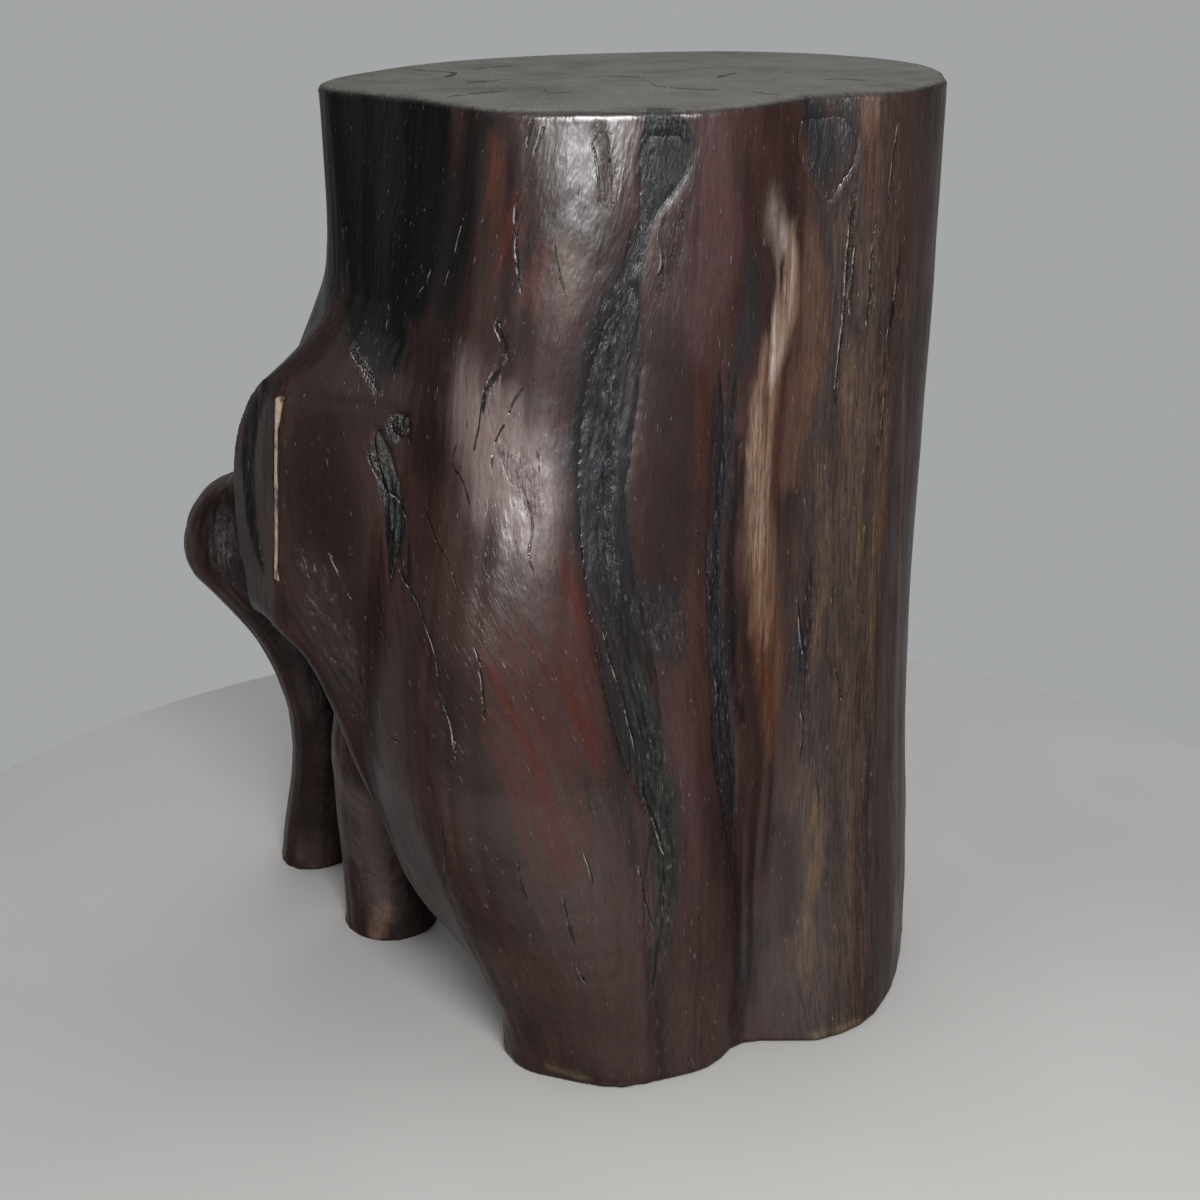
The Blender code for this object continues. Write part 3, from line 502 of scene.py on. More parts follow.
# The sheen: least and most roughness about a wood's own, what rough places and end grain add to
# it, and how strongly a face that looks at the lens and one that looks away shine
SMOOTHER, ROUGHER = -0.03, 0.05
ROUGH_SHEEN = -0.04
END_SHEEN = 0.34
FACING_SHINE, EDGE_SHINE = 0.86, 0.04
ROUGH_DULLING = -0.6
FILLER_ROUGHNESS = 0.7
FLOOR_ROUGHNESS = 0.9
STAGE_SHINE = 0.2

# The stage: the floor, the even light, and where the room's grey fades into the backdrop's
FLOOR_THICKNESS = 0.02
FLOOR_EDGE = 0.006
AMBIENT_TINT = (0.93, 0.96, 1.0, 1.0)
AMBIENT_LEVEL = 0.46
ROOM_FROM = -0.5
BACKDROP_FROM = 0.3

# Each lamp: place, width over the lamp size, power
LAMPS = (
    ("lamp_camera", (0.10, -0.92, 0.74), 1.0, 11.3),
    ("lamp_left", (-1.2, -0.4, 1.3), 5.4, 1.0),
    ("lamp_right", (1.3, -0.2, 1.3), 5.4, 2.0),
    ("lamp_back", (0.2, 1.4, 1.3), 5.4, 7.0),
)


def screen(red, green, blue):
    """A colour written as on screen, 0 to 255, as a shader colour."""
    shares = (red / 255, green / 255, blue / 255)
    return tuple(s / 12.92 if s <= 0.04045 else ((s + 0.055) / 1.055) ** 2.4 for s in shares)


def tone(name, description, red, green, blue):
    """A colour that a user can change."""
    return bpy.props.FloatVectorProperty(
        name=name, description=description, default=screen(red, green, blue), subtype="COLOR",
        min=0, max=1,
    )


def length(name, description, metres):
    """A length that a user can change."""
    return bpy.props.FloatProperty(
        name=name, description=description, default=metres, min=0, unit="LENGTH", precision=5
    )


class StoolColours(bpy.types.PropertyGroup):
    """The colours of the wood, of its stains and of what is in it."""

    wood: tone("Wood", "Waxed heartwood, where it is lightest", 57, 38, 34)
    wood_dark: tone("Dark wood", "Heartwood between the light streaks", 34, 22, 20)
    wood_low: tone("Low wood", "Heartwood near the foot", 61, 46, 43)
    red: tone("Red", "Red heartwood of the belly", 66, 22, 14)
    red_dark: tone("Dark red", "Red heartwood of the knees", 24, 8, 7)
    orange: tone("Orange", "The warmest streaks", 70, 40, 26)
    plum: tone("Plum", "Purplish heartwood between the seams", 66, 44, 44)
    olive: tone("Olive", "Greenish brown streak", 48, 27, 15)
    brown: tone("Brown", "Light stripes of the right side", 84, 63, 47)
    brown_dark: tone("Dark brown", "Dark stripes of the right side", 48, 38, 36)
    umber: tone("Umber", "Stripes between the light and the dark ones", 68, 53, 46)
    tan: tone("Tan", "Worn ridge", 120, 95, 78)
    # The palest tan holds the painted highlight of the ridge's top
    tan_pale: tone("Pale tan", "Palest part of the worn ridge, with its painted highlight", 172, 159, 150)
    tan_low: tone("Low tan", "Darker fibres of the worn ridge", 84, 58, 45)
    black: tone("Black", "Burnt and stained wood", 7, 7, 9)
    rough_grey: tone("Grey fibre", "Rough fibres that hold dust", 50, 42, 40)
    teal: tone("Teal", "Stained bark under the rim", 21, 26, 29)
    seam_blue: tone("Blue bark", "Lightest fibres of the seams", 38, 38, 42)
    seam_black: tone("Black bark", "Dark wood beside the seams", 24, 22, 25)
    # A pale colour for painted sheen, partly dull wax
    bloom: tone("Bloom", "Dull wax on the belly, with a painted sheen", 113, 97, 94)
    seam_green: tone("Green bark", "Lower fibres of the seams", 40, 43, 40)
    facet: tone("Facet", "Flat cut of the front knee", 12, 11, 9)
    shaded_hollow: tone("Shaded hollow", "Wood inside the arch, darkened with painted shade", 24, 20, 19)
    end_grain: tone("End grain", "Seat and underside", 101, 99, 94)
    end_dark: tone("Dark end grain", "Dirt in the seat", 76, 73, 67)
    rim_dirt: tone("Rim dirt", "Dust on the foot's edge", 92, 79, 60)
    pore: tone("Pore", "Inside pores and cracks", 12, 9, 9)
    # Pale torn fibres, and the colour of the painted glints on flecks, specks and crack lips
    fleck_and_glint: tone("Fleck and glint", "Pale lips of cracks and torn fibres, with painted glints", 150, 144, 140)
    filler: tone("Filler", "Pale filler in the split", 150, 132, 114)
    filler_dirt: tone("Filler dirt", "Dirt in the filler", 62, 48, 40)
    floor: tone("Floor", "Floor under the stool", 178, 176, 173)
    backdrop: tone("Backdrop", "Plain grey behind the floor", 163, 165, 166)
    room: tone("Room", "Darker grey of the room in front", 92, 93, 94)


class StoolSizes(bpy.types.PropertyGroup):
    """The sizes of the surface detail and of the stage."""

    skin_step: length("Skin step", "Distance between the points of the trunk's first skin", 0.0018)
    bark_step: length("Bark step", "Distance between the points of the bark", 0.0009)
    fine_step: length("Fine step", "Distance between the points of the knot and the filler", 0.0006)
    wave_height: length("Wave height", "Height of the tool's waves in the waxed wood", 0.0005)
    fibre_height: length("Fibre height", "Height of torn fibres in the rough places", 0.0009)
    bark_height: length("Bark height", "Height of the bark's fibres", 0.0011)
    floor_radius: length("Floor radius", "Half the width of the round floor", 0.462)
    lamp_size: length("Lamp size", "Width of the lamp beside the camera", 0.30)


def stool_colours():
    """The colours in use."""
    return bpy.context.scene.stool_colours


def stool_sizes():
    """The sizes in use."""
    return bpy.context.scene.stool_sizes


def activate(piece):
    """Selects one object alone and makes it active."""
    bpy.ops.object.select_all(action="DESELECT")
    piece.select_set(True)
    bpy.context.view_layer.objects.active = piece


def copied_node(node_name, piece_name):
    """A new object with a merged copy of a CAD node's mesh."""
    piece = bpy.data.objects.new(piece_name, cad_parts[node_name].data.copy())
    bpy.context.scene.collection.objects.link(piece)
    piece.data.materials.clear()
    activate(piece)
    bpy.ops.object.mode_set(mode="EDIT")
    bpy.ops.mesh.select_all(action="SELECT")
    bpy.ops.mesh.remove_doubles(threshold=MERGE)
    bpy.ops.object.mode_set(mode="OBJECT")
    return piece


def apply_modifier(piece, kind, **settings):
    """Adds a modifier with these settings and applies it."""
    activate(piece)
    modifier = piece.modifiers.new(kind.lower(), kind)
    for key, value in settings.items():
        setattr(modifier, key, value)
    bpy.ops.object.modifier_apply(modifier=modifier.name)


def positions(mesh):
    """A mesh's vertices as an array of points."""
    points = np.empty(len(mesh.vertices) * 3)
    mesh.vertices.foreach_get("co", points)
    return points.reshape(-1, 3)


def set_positions(mesh, points):
    """Moves a mesh's vertices to the points of an array."""
    mesh.vertices.foreach_set("co", points.ravel())
    mesh.update()


def normals(mesh):
    """A mesh's vertex normals as an array."""
    values = np.empty(len(mesh.vertices) * 3)
    mesh.vertex_normals.foreach_get("vector", values)
    return values.reshape(-1, 3)


def eased(values):
    """Values clamped to 0 to 1 and eased at both ends."""
    clamped = np.clip(values, 0, 1)
    return clamped * clamped * (3 - 2 * clamped)


def ripple(places, sizes, seed):
    """A soft noise from -1 to 1 read at places, with its own size along each axis."""
    return np.array([noise.noise(place) for place in places / np.array(sizes) + seed])


def sharp_edge_points(mesh):
    """Points along the edges that stay crisp: round the seat, the feet and the knee's flat cut."""
    corners = positions(mesh)
    faces_of = {}
    for polygon in mesh.polygons:
        for key in polygon.edge_keys:
            faces_of.setdefault(key, []).append(Vector(polygon.normal))
    limit = math.cos(math.radians(SHARP_ANGLE))
    points = []
    for (first, second), sides in faces_of.items():
        if len(sides) == 2 and sides[0].dot(sides[1]) < limit:
            start, end = corners[first], corners[second]
            steps = max(1, int(np.linalg.norm(end - start) / SHARP_STEP))
            points += [start + (end - start) * step / steps for step in range(steps + 1)]
    points = np.array(points)
    facet = np.linalg.norm(points - thrown(*FACET_PLACE)[:3], axis=1) < FACET_REACH
    return points[facet | (points[:, 2] < SHARP_END) | (points[:, 2] > SEAT_HEIGHT - SHARP_END)]


def distance_to(points, targets):
    """The distance from each point to the nearest target."""
    tree = KDTree(len(targets))
    for index, target in enumerate(targets):
        tree.insert(target, index)
    tree.balance()
    return np.array([tree.find(point)[2] for point in points])


def smooth_between_edges(mesh, sharp_points):
    """Smooths a mesh away from the sharp edges, and puts it back on the solid close to them."""
    points = positions(mesh)
    pairs = np.empty(len(mesh.edges) * 2, np.int64)
    mesh.edges.foreach_get("vertices", pairs)
    first, second = pairs.reshape(-1, 2).T
    count = np.bincount(pairs, minlength=len(points))[:, None]
    share = eased((distance_to(points, sharp_points) - SMOOTH_NEAR) / (SMOOTH_FAR - SMOOTH_NEAR))
    share = SMOOTH_LEAST + (1 - SMOOTH_LEAST) * share[:, None]
    for _ in range(SMOOTH_ROUNDS):
        total = np.empty_like(points)
        for axis in range(3):
            total[:, axis] = np.bincount(first, points[second, axis], len(points))
            total[:, axis] += np.bincount(second, points[first, axis], len(points))
        points += (total / count - points) * SMOOTH_PULL * share
    gaps = distance_to(points, sharp_points)
    for index in np.flatnonzero(gaps < EDGE_FAR):
        place = np.array(pocket_tree().find_nearest(points[index])[0])
        pull = eased((EDGE_FAR - gaps[index]) / (EDGE_FAR - EDGE_NEAR))
        points[index] += (place - points[index]) * pull
    set_positions(mesh, points)


def node_tree(node_names):
    """The CAD solids of these nodes in one tree."""
    corners, faces = [], []
    for name in node_names:
        mesh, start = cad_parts[name].data, len(corners)
        corners += [vertex.co for vertex in mesh.vertices]
        faces += [[start + corner for corner in face.vertices] for face in mesh.polygons]
    return BVHTree.FromPolygons(corners, faces)


@functools.cache
def log_tree():
    """Every solid of the stool, to throw routes onto."""
    return node_tree(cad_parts)


@functools.cache
def pocket_tree():
    """The trunk's solid with its open pockets."""
    return node_tree(("trunk",))


@functools.cache
def narrow_tree():
    """The filler, the knot and the knee's pocket, which are too narrow for the trunk's skin."""
    return node_tree((FILLER_NODE, KNOT_NODE, "bark_pocket_knee"))


def narrow_share(points):
    """How close each point is to one of those, from 0 to 1."""
    gaps = np.array([narrow_tree().find_nearest(point)[3] for point in points])
    return eased(NARROW_START - gaps / NARROW_REACH)


def from_pocket(points):
    """The distance from each point to the trunk's solid, which is open over the pockets."""
    return np.array([pocket_tree().find_nearest(point)[3] for point in points])


def waves(points, grain):
    """The tool's waves in the waxed wood, from about -1 to 1."""
    return ripple(grain, *WAVES_IN_GRAIN) + ripple(points, *WAVES_IN_PLACE)


def pixel_ray(x, y):
    """The direction from the camera through a pixel of the photograph."""
    right = (x - PHOTO_SIDE / 2) / CAMERA_FOCAL_PIXELS
    down = (y - PHOTO_SIDE / 2) / CAMERA_FOCAL_PIXELS
    return (CAMERA_AHEAD + Vector((right, 0, 0)) - CAMERA_UP * down).normalized()


def thrown(x, y, half_width=0.0):
    """A pixel's place on the wood, the half-width there in metres, and the wood's normal."""
    place, normal, _, _ = log_tree().ray_cast(CAMERA_PLACE, pixel_ray(x, y))
    if place is None:
        raise RuntimeError(f"pixel {x}, {y} misses the wood")
    depth = (place - CAMERA_PLACE).dot(CAMERA_AHEAD)
    return (*place, half_width * depth / CAMERA_FOCAL_PIXELS, *normal)


def turned(direction, share, half_width=0.0):
    """The place on the wood at a direction and a share of the height, as thrown gives it."""
    angle = math.radians(direction)
    outward = Vector((math.cos(angle), math.sin(angle), 0))
    height = min(max(share, ROUTE_LOWEST), ROUTE_HIGHEST) * SEAT_HEIGHT
    start = outward * OUTSIDE + Vector((0, 0, height))
    place, normal, _, _ = log_tree().ray_cast(start, -outward)
    if place is None:
        raise RuntimeError(f"direction {direction} misses the wood")
    return (*place, half_width, *normal)


def smooth_route(rows):
    """A smooth curve through rows of numbers, read at even steps. Its first three are a place."""
    rows = np.array(rows)
    if len(rows) < 3:
        return rows
    rows = np.vstack((2 * rows[0] - rows[1], rows, 2 * rows[-1] - rows[-2]))
    bends = []
    for before, low, high, after in zip(rows, rows[1:], rows[2:], rows[3:]):
        steps = max(1, int(np.linalg.norm(high[:3] - low[:3]) / ROUTE_STEP))
        for t in np.arange(steps) / steps:
            square = 2 * before - 5 * low + 4 * high - after
            cube = 3 * low - before - 3 * high + after
            bends.append(0.5 * (2 * low + (high - before) * t + square * t**2 + cube * t**3))
    bends.append(rows[-2])
    return np.array(bends)


def measured(points, route):
    """For each point: its distance to a route, and the nearest place along it in steps."""
    starts, runs = route[:-1, :3], np.diff(route[:, :3], axis=0)
    lengths = np.maximum((runs**2).sum(1), 1e-12)
    best = np.full(len(points), np.inf)
    place = np.zeros(len(points))
    for step, (start, run) in enumerate(zip(starts, runs)):
        away = points - start
        t = np.clip((away @ run) / lengths[step], 0, 1)
        gap = np.linalg.norm(away - t[:, None] * run, axis=1)
        nearer = gap < best
        best[nearer] = gap[nearer]
        place[nearer] = step + t[nearer]
    return best, place


def near_route(points, route, margin):
    """The indices of the points inside a route's box grown by a margin."""
    low, high = route[:, :3].min(0) - margin, route[:, :3].max(0) + margin
    return np.flatnonzero(((points > low) & (points < high)).all(1))


def flow_label(direction, share_up):
    """The label of the grain line that passes through each direction and height."""
    direction = (direction - FLOW_START) % 360 + FLOW_START
    lines = [np.interp(share_up, FLOW_HEIGHT_SHARES, directions) for _, directions in FLOW_LINES]
    result = np.full(len(direction), float(FLOW_START))
    for index, (low, high) in enumerate(zip(lines, lines[1:])):
        first, last = FLOW_LINES[index][0], FLOW_LINES[index + 1][0]
        inside = (direction >= low) & (direction <= high)
        share = (direction - low) / np.maximum(high - low, 1e-6)
        result[inside] = (first + share * (last - first))[inside]
    return result


def outward_share(points, faces_out):
    """How much each point's face looks away from the log's axis, from -1 to 1."""
    radius = np.maximum(np.hypot(points[:, 0], points[:, 1]), 1e-6)
    return (points[:, :2] * faces_out[:, :2]).sum(1) / radius


def grain_places(points, faces_out):
    """Where each point lies in the straight log of its grain: two across, one along."""
    radius = np.hypot(points[:, 0], points[:, 1])
    direction = np.degrees(np.arctan2(points[:, 1], points[:, 0]))
    label = np.radians(flow_label(direction, points[:, 2] / SEAT_HEIGHT))
    outer = eased((outward_share(points, faces_out) - OUTER_FACING) / OUTER_FACING_FADE)
    straight = radius * (1 - outer) + GRAIN_RADIUS * outer
    return np.stack((straight * np.cos(label), straight * np.sin(label), points[:, 2]), 1)


@functools.cache
def strokes():
    """Every stroke as its colour, strength, roughness, softness in metres and smooth route."""
    drawn = []
    for colour, strength, rough, softness, places in SEEN_STROKES:
        rows = [thrown(*place) for place in places]
        metres = thrown(*places[len(places) // 2][:2], softness)[3]
        drawn.append((colour, strength, rough, metres, smooth_route(rows)))
    for colour, strength, rough, softness, places in HIDDEN_STROKES:
        rows = [turned(*place) for place in places]
        drawn.append((colour, strength, rough, softness, smooth_route(rows)))
    return drawn


@functools.cache
def cracks():
    """Every crack as its half-width in millimetres, paleness and smooth route."""
    drawn = [(width, pale, smooth_route([thrown(*place) for place in places]))
             for width, pale, places in SEEN_CRACKS]
    drawn += [(width, pale, smooth_route([turned(*place) for place in places]))
              for width, pale, places in HIDDEN_CRACKS]
    return drawn


def read_route(route, place, columns):
    """A route's numbers in these columns, at each place along it in steps."""
    steps = np.arange(len(route))
    return np.stack([np.interp(place, steps, route[:, column]) for column in columns], 1)


def stroke_mask(points, faces_out, softness, route):
    """How far each point lies inside a stroke, from 0 to 1, on faces that look the stroke's way."""
    mask = np.zeros(len(points))
    near = near_route(points, route, route[:, 3].max() + softness)
    if len(near):
        gap, place = measured(points[near], route)
        half_width, *towards = read_route(route, place, range(3, 7)).T
        facing = sum(faces_out[near, n] * towards[n] for n in range(3))
        inside = eased((half_width + softness - gap) / (2 * softness))
        mask[near] = inside * eased((facing - STROKE_FACING) / STROKE_FACING_FADE)
    return mask


def hollow_share(points, faces_out):
    """How far each point is a wall of the arch or an inner side of a leg."""
    left = eased((HOLLOW_LEFT - points[:, 0]) / HOLLOW_LEFT_FADE)
    low = eased((HOLLOW_TOP - points[:, 2]) / HOLLOW_TOP_FADE)
    # Walls low down that look forward, into the light, keep less of the painted shade
    shown = SHOWN_STRENGTH * eased((SHOWN_FACING - faces_out[:, 1]) / SHOWN_FACING_FADE)
    shown *= eased((SHOWN_TOP - points[:, 2]) / SHOWN_FADE)
    inner = eased((INNER_FACING - outward_share(points, faces_out)) / INNER_FACING_FADE)
    return left * low * inner * (1 - shown)


def seat_share(points, faces_out):
    """How far each point is on the seat or under a foot."""
    up = eased((faces_out[:, 2] - UP_FACING) / UP_FACING_FADE)
    down = eased((DOWN_FACING - faces_out[:, 2]) / DOWN_FACING_FADE)
    heights = points[:, 2]
    return up * (heights > SEAT_HEIGHT - END_DEPTH) + down * (heights < END_DEPTH)


def rough_share(points, faces_out):
    """How rough the wood is at each point."""
    rough = hollow_share(points, faces_out) * HOLLOW_ROUGH
    for _, strength, amount, softness, route in strokes():
        if amount > 0:
            rough = np.maximum(rough, stroke_mask(points, faces_out, softness, route) * amount)
    return rough


def painted(points, faces_out, grain, dark, light):
    """The colour of each point, and how rough, how much end grain and how fibrous it is."""
    colours = stool_colours()

    def tint(name):
        return np.array(getattr(colours, name))

    broad = ripple(grain, *BROAD_IN_GRAIN) + ripple(points, *BROAD_IN_PLACE)
    streak, thread = ripple(grain, *STREAKS), ripple(grain, *THREADS)
    share = 0.5 + BROAD_WEIGHT * broad + FINE_WEIGHT * streak + FINE_WEIGHT * thread
    share = np.clip(share, 0, 1)[:, None]
    colour = tint(dark) * (1 - share) + tint(light) * share

    across = np.stack((-points[:, 1], points[:, 0], points[:, 0] * 0), 1)
    across /= np.maximum(np.linalg.norm(across, axis=1), 1e-9)[:, None]
    fray = FRAY_FINE * streak + FRAY_FINE * thread + FRAY_BROAD * broad
    frayed = points + across * fray[:, None]
    rough, fibrous = np.zeros(len(points)), np.zeros(len(points))
    for name, strength, amount, softness, route in strokes():
        mask = stroke_mask(frayed, faces_out, softness, route)
        cover = np.clip(mask * strength * (1 + (1 - mask) * (streak + thread)), 0, 1)[:, None]
        names = name.split()
        fibrous = np.maximum(fibrous, mask * strength * (names[0] in FIBROUS))
        blend = eased(0.5 + STREAK_BLEND * streak + THREAD_BLEND * thread)[:, None]
        streaked = tint(names[0]) * blend + tint(names[-1]) * (1 - blend)
        colour = colour * (1 - cover) + streaked * cover
        rough = np.maximum(rough, mask * amount)

    # Painted shade inside the arch and on the inner sides of the legs
    shaded_hollow = hollow_share(points, faces_out)
    cover = HOLLOW_SHADE_STRENGTH * shaded_hollow[:, None]
    colour = colour * (1 - cover) + tint("shaded_hollow") * cover
    rough = np.maximum(rough, shaded_hollow * HOLLOW_ROUGH)
    end = seat_share(points, faces_out)
    colour = colour * (1 - end[:, None]) + tint("end_grain") * end[:, None]
    below = SEAT_HEIGHT - points[:, 2]
    rim = eased((RIM_DEPTH - below) / RIM_FADE) * (1 - eased((end - RIM_END) / RIM_END_FADE))
    colour *= 1 - RIM_STRENGTH * rim[:, None]
    return colour, np.stack((rough, end, fibrous), 1)


def crack_fields(points, faces_out):
    """For each layer of cracks: signed distance and half-width in millimetres, and paleness."""
    layers = [np.zeros((len(points), 3)) for _ in CRACK_LAYERS]
    nearest = [np.full(len(points), np.inf) for _ in CRACK_LAYERS]
    for width, pale, route in cracks():
        near = near_route(points, route, CRACK_REACH)
        if not len(near):
            continue
        gap, place = measured(points[near], route)
        close = gap < CRACK_REACH
        near, gap, place = near[close], gap[close], place[close]
        if not len(near):
            continue
        step = np.minimum(np.rint(place).astype(int), len(route) - 1)
        run = np.gradient(route[:, :3], axis=0)[step]
        side = np.cross(run, faces_out[near])
        side /= np.maximum(np.linalg.norm(side, axis=1), 1e-9)[:, None]
        signed = ((points[near] - read_route(route, place, range(3))) * side).sum(1)
        share = place / (len(route) - 1)
        taper = eased(np.minimum(share, 1 - share) / CRACK_TAPER)
        taper *= eased((CRACK_REACH - gap) / CRACK_FADE)
        free = [n for n, gaps in enumerate(nearest) if np.isinf(gaps[near]).all()]
        index = free[0] if free else len(layers) - 1
        closer = gap < nearest[index][near]
        near, gap, signed, taper = near[closer], gap[closer], signed[closer], taper[closer]
        nearest[index][near] = gap
        layers[index][near] = np.stack((signed * 1000, width * taper, np.full(len(near), pale)), 1)
    return layers


def store_vector(mesh, name, values):
    """Keeps three numbers for each vertex as an attribute."""
    attribute = mesh.attributes.new(name, "FLOAT_VECTOR", "POINT")
    attribute.data.foreach_set("vector", np.ascontiguousarray(values, dtype=np.float32).ravel())


def store_marks(mesh, dark="wood_dark", light="wood", rough=0.0):
    """Keeps the grain, the colours and the cracks of a finished mesh as attributes."""
    points, faces_out = positions(mesh), normals(mesh)
    grain = grain_places(points, faces_out)
    colour, wear = painted(points, faces_out, grain, dark, light)
    wear[:, 0] = np.maximum(wear[:, 0], rough)
    store_vector(mesh, "grain", grain)
    store_vector(mesh, "paint", colour)
    store_vector(mesh, "wear", wear)
    for name, layer in zip(CRACK_LAYERS, crack_fields(points, faces_out)):
        store_vector(mesh, name, layer)


class Wiring:
    """Short calls that add nodes to one node tree and wire them."""

    def __init__(self, tree):
        self.tree = tree

    def add(self, kind, **settings):
        """A new node with these settings."""
        made = self.tree.nodes.new(kind)
        for key, value in settings.items():
            setattr(made, key, value)
        return made

    def put(self, node, **values):
        """Wires outputs to a node's sockets by name, or sets the sockets' own values."""
        for name, value in values.items():
            self.fill(node.inputs[name.replace("_", " ")], value)

    def fill(self, socket, value):
        """Wires an output to a socket, or sets the socket's own value."""
        if isinstance(value, bpy.types.NodeSocket):
            self.tree.links.new(value, socket)
        else:
            socket.default_value = value

    def attribute(self, name):
        """An attribute as a vector, and its three numbers."""
        vector = self.add("ShaderNodeAttribute", attribute_name=name).outputs["Vector"]
        parts = self.add("ShaderNodeSeparateXYZ")
        self.put(parts, Vector=vector)
        return vector, *parts.outputs

    def noise(self, vector, scale, along=1.0, detail=2.0, roughness=0.5):
        """A noise from 0 to 1, drawn out along its third axis."""
        mapping = self.add("ShaderNodeMapping")
        self.put(mapping, Vector=vector, Scale=(1, 1, along))
        made = self.add("ShaderNodeTexNoise")
        self.put(made, Vector=mapping.outputs[0], Scale=scale, Detail=detail, Roughness=roughness)
        return made.outputs["Fac"]

    def math(self, operation, *values):
        """One sum on up to three values."""
        made = self.add("ShaderNodeMath", operation=operation)
        for socket, value in zip(made.inputs, values):
            self.fill(socket, value)
        return made.outputs[0]

    def product(self, first, *others):
        """The product of values."""
        for other in others:
            first = self.math("MULTIPLY", first, other)
        return first

    def range(self, value, low, high, to_low=0.0, to_high=1.0, curve="SMOOTHSTEP"):
        """A value moved from one range to another and held there."""
        made = self.add("ShaderNodeMapRange", interpolation_type=curve)
        self.put(made, Value=value, From_Min=low, From_Max=high, To_Min=to_low, To_Max=to_high)
        return made.outputs["Result"]

    def mix(self, share, first, second, blend="MIX"):
        """Two colours mixed."""
        made = self.add("ShaderNodeMix", data_type="RGBA", blend_type=blend)
        for index, value in ((0, share), (6, first), (7, second)):
            self.fill(made.inputs[index], value)
        return made.outputs[2]


class Shader(Wiring):
    """The wiring of one new material."""

    def __init__(self, name):
        self.material = bpy.data.materials.new(name)
        self.material.use_nodes = True
        super().__init__(self.material.node_tree)
        self.surface = self.tree.nodes["Principled BSDF"]
        self.place = self.add("ShaderNodeTexCoord").outputs["Object"]

    def shaded(self, colour, pattern, low, high, dark, light):
        """A colour that a pattern darkens and lightens."""
        shade = self.mix(self.range(pattern, low, high), grey(dark), grey(light))
        return self.mix(1.0, colour, shade, "MULTIPLY")

    def finish(self, colour, roughness, height):
        """Wires the colour, the roughness and a relief whose height is in metres."""
        bump = self.add("ShaderNodeBump")
        self.put(bump, Strength=1.0, Distance=1.0, Height=height)
        self.put(self.surface, Base_Color=colour, Roughness=roughness, Normal=bump.outputs[0])
        return self.material


def opaque(colour):
    """A colour with its fourth number."""
    return (*colour, 1.0)


def grey(level):
    """An even grey."""
    return (level, level, level, 1.0)


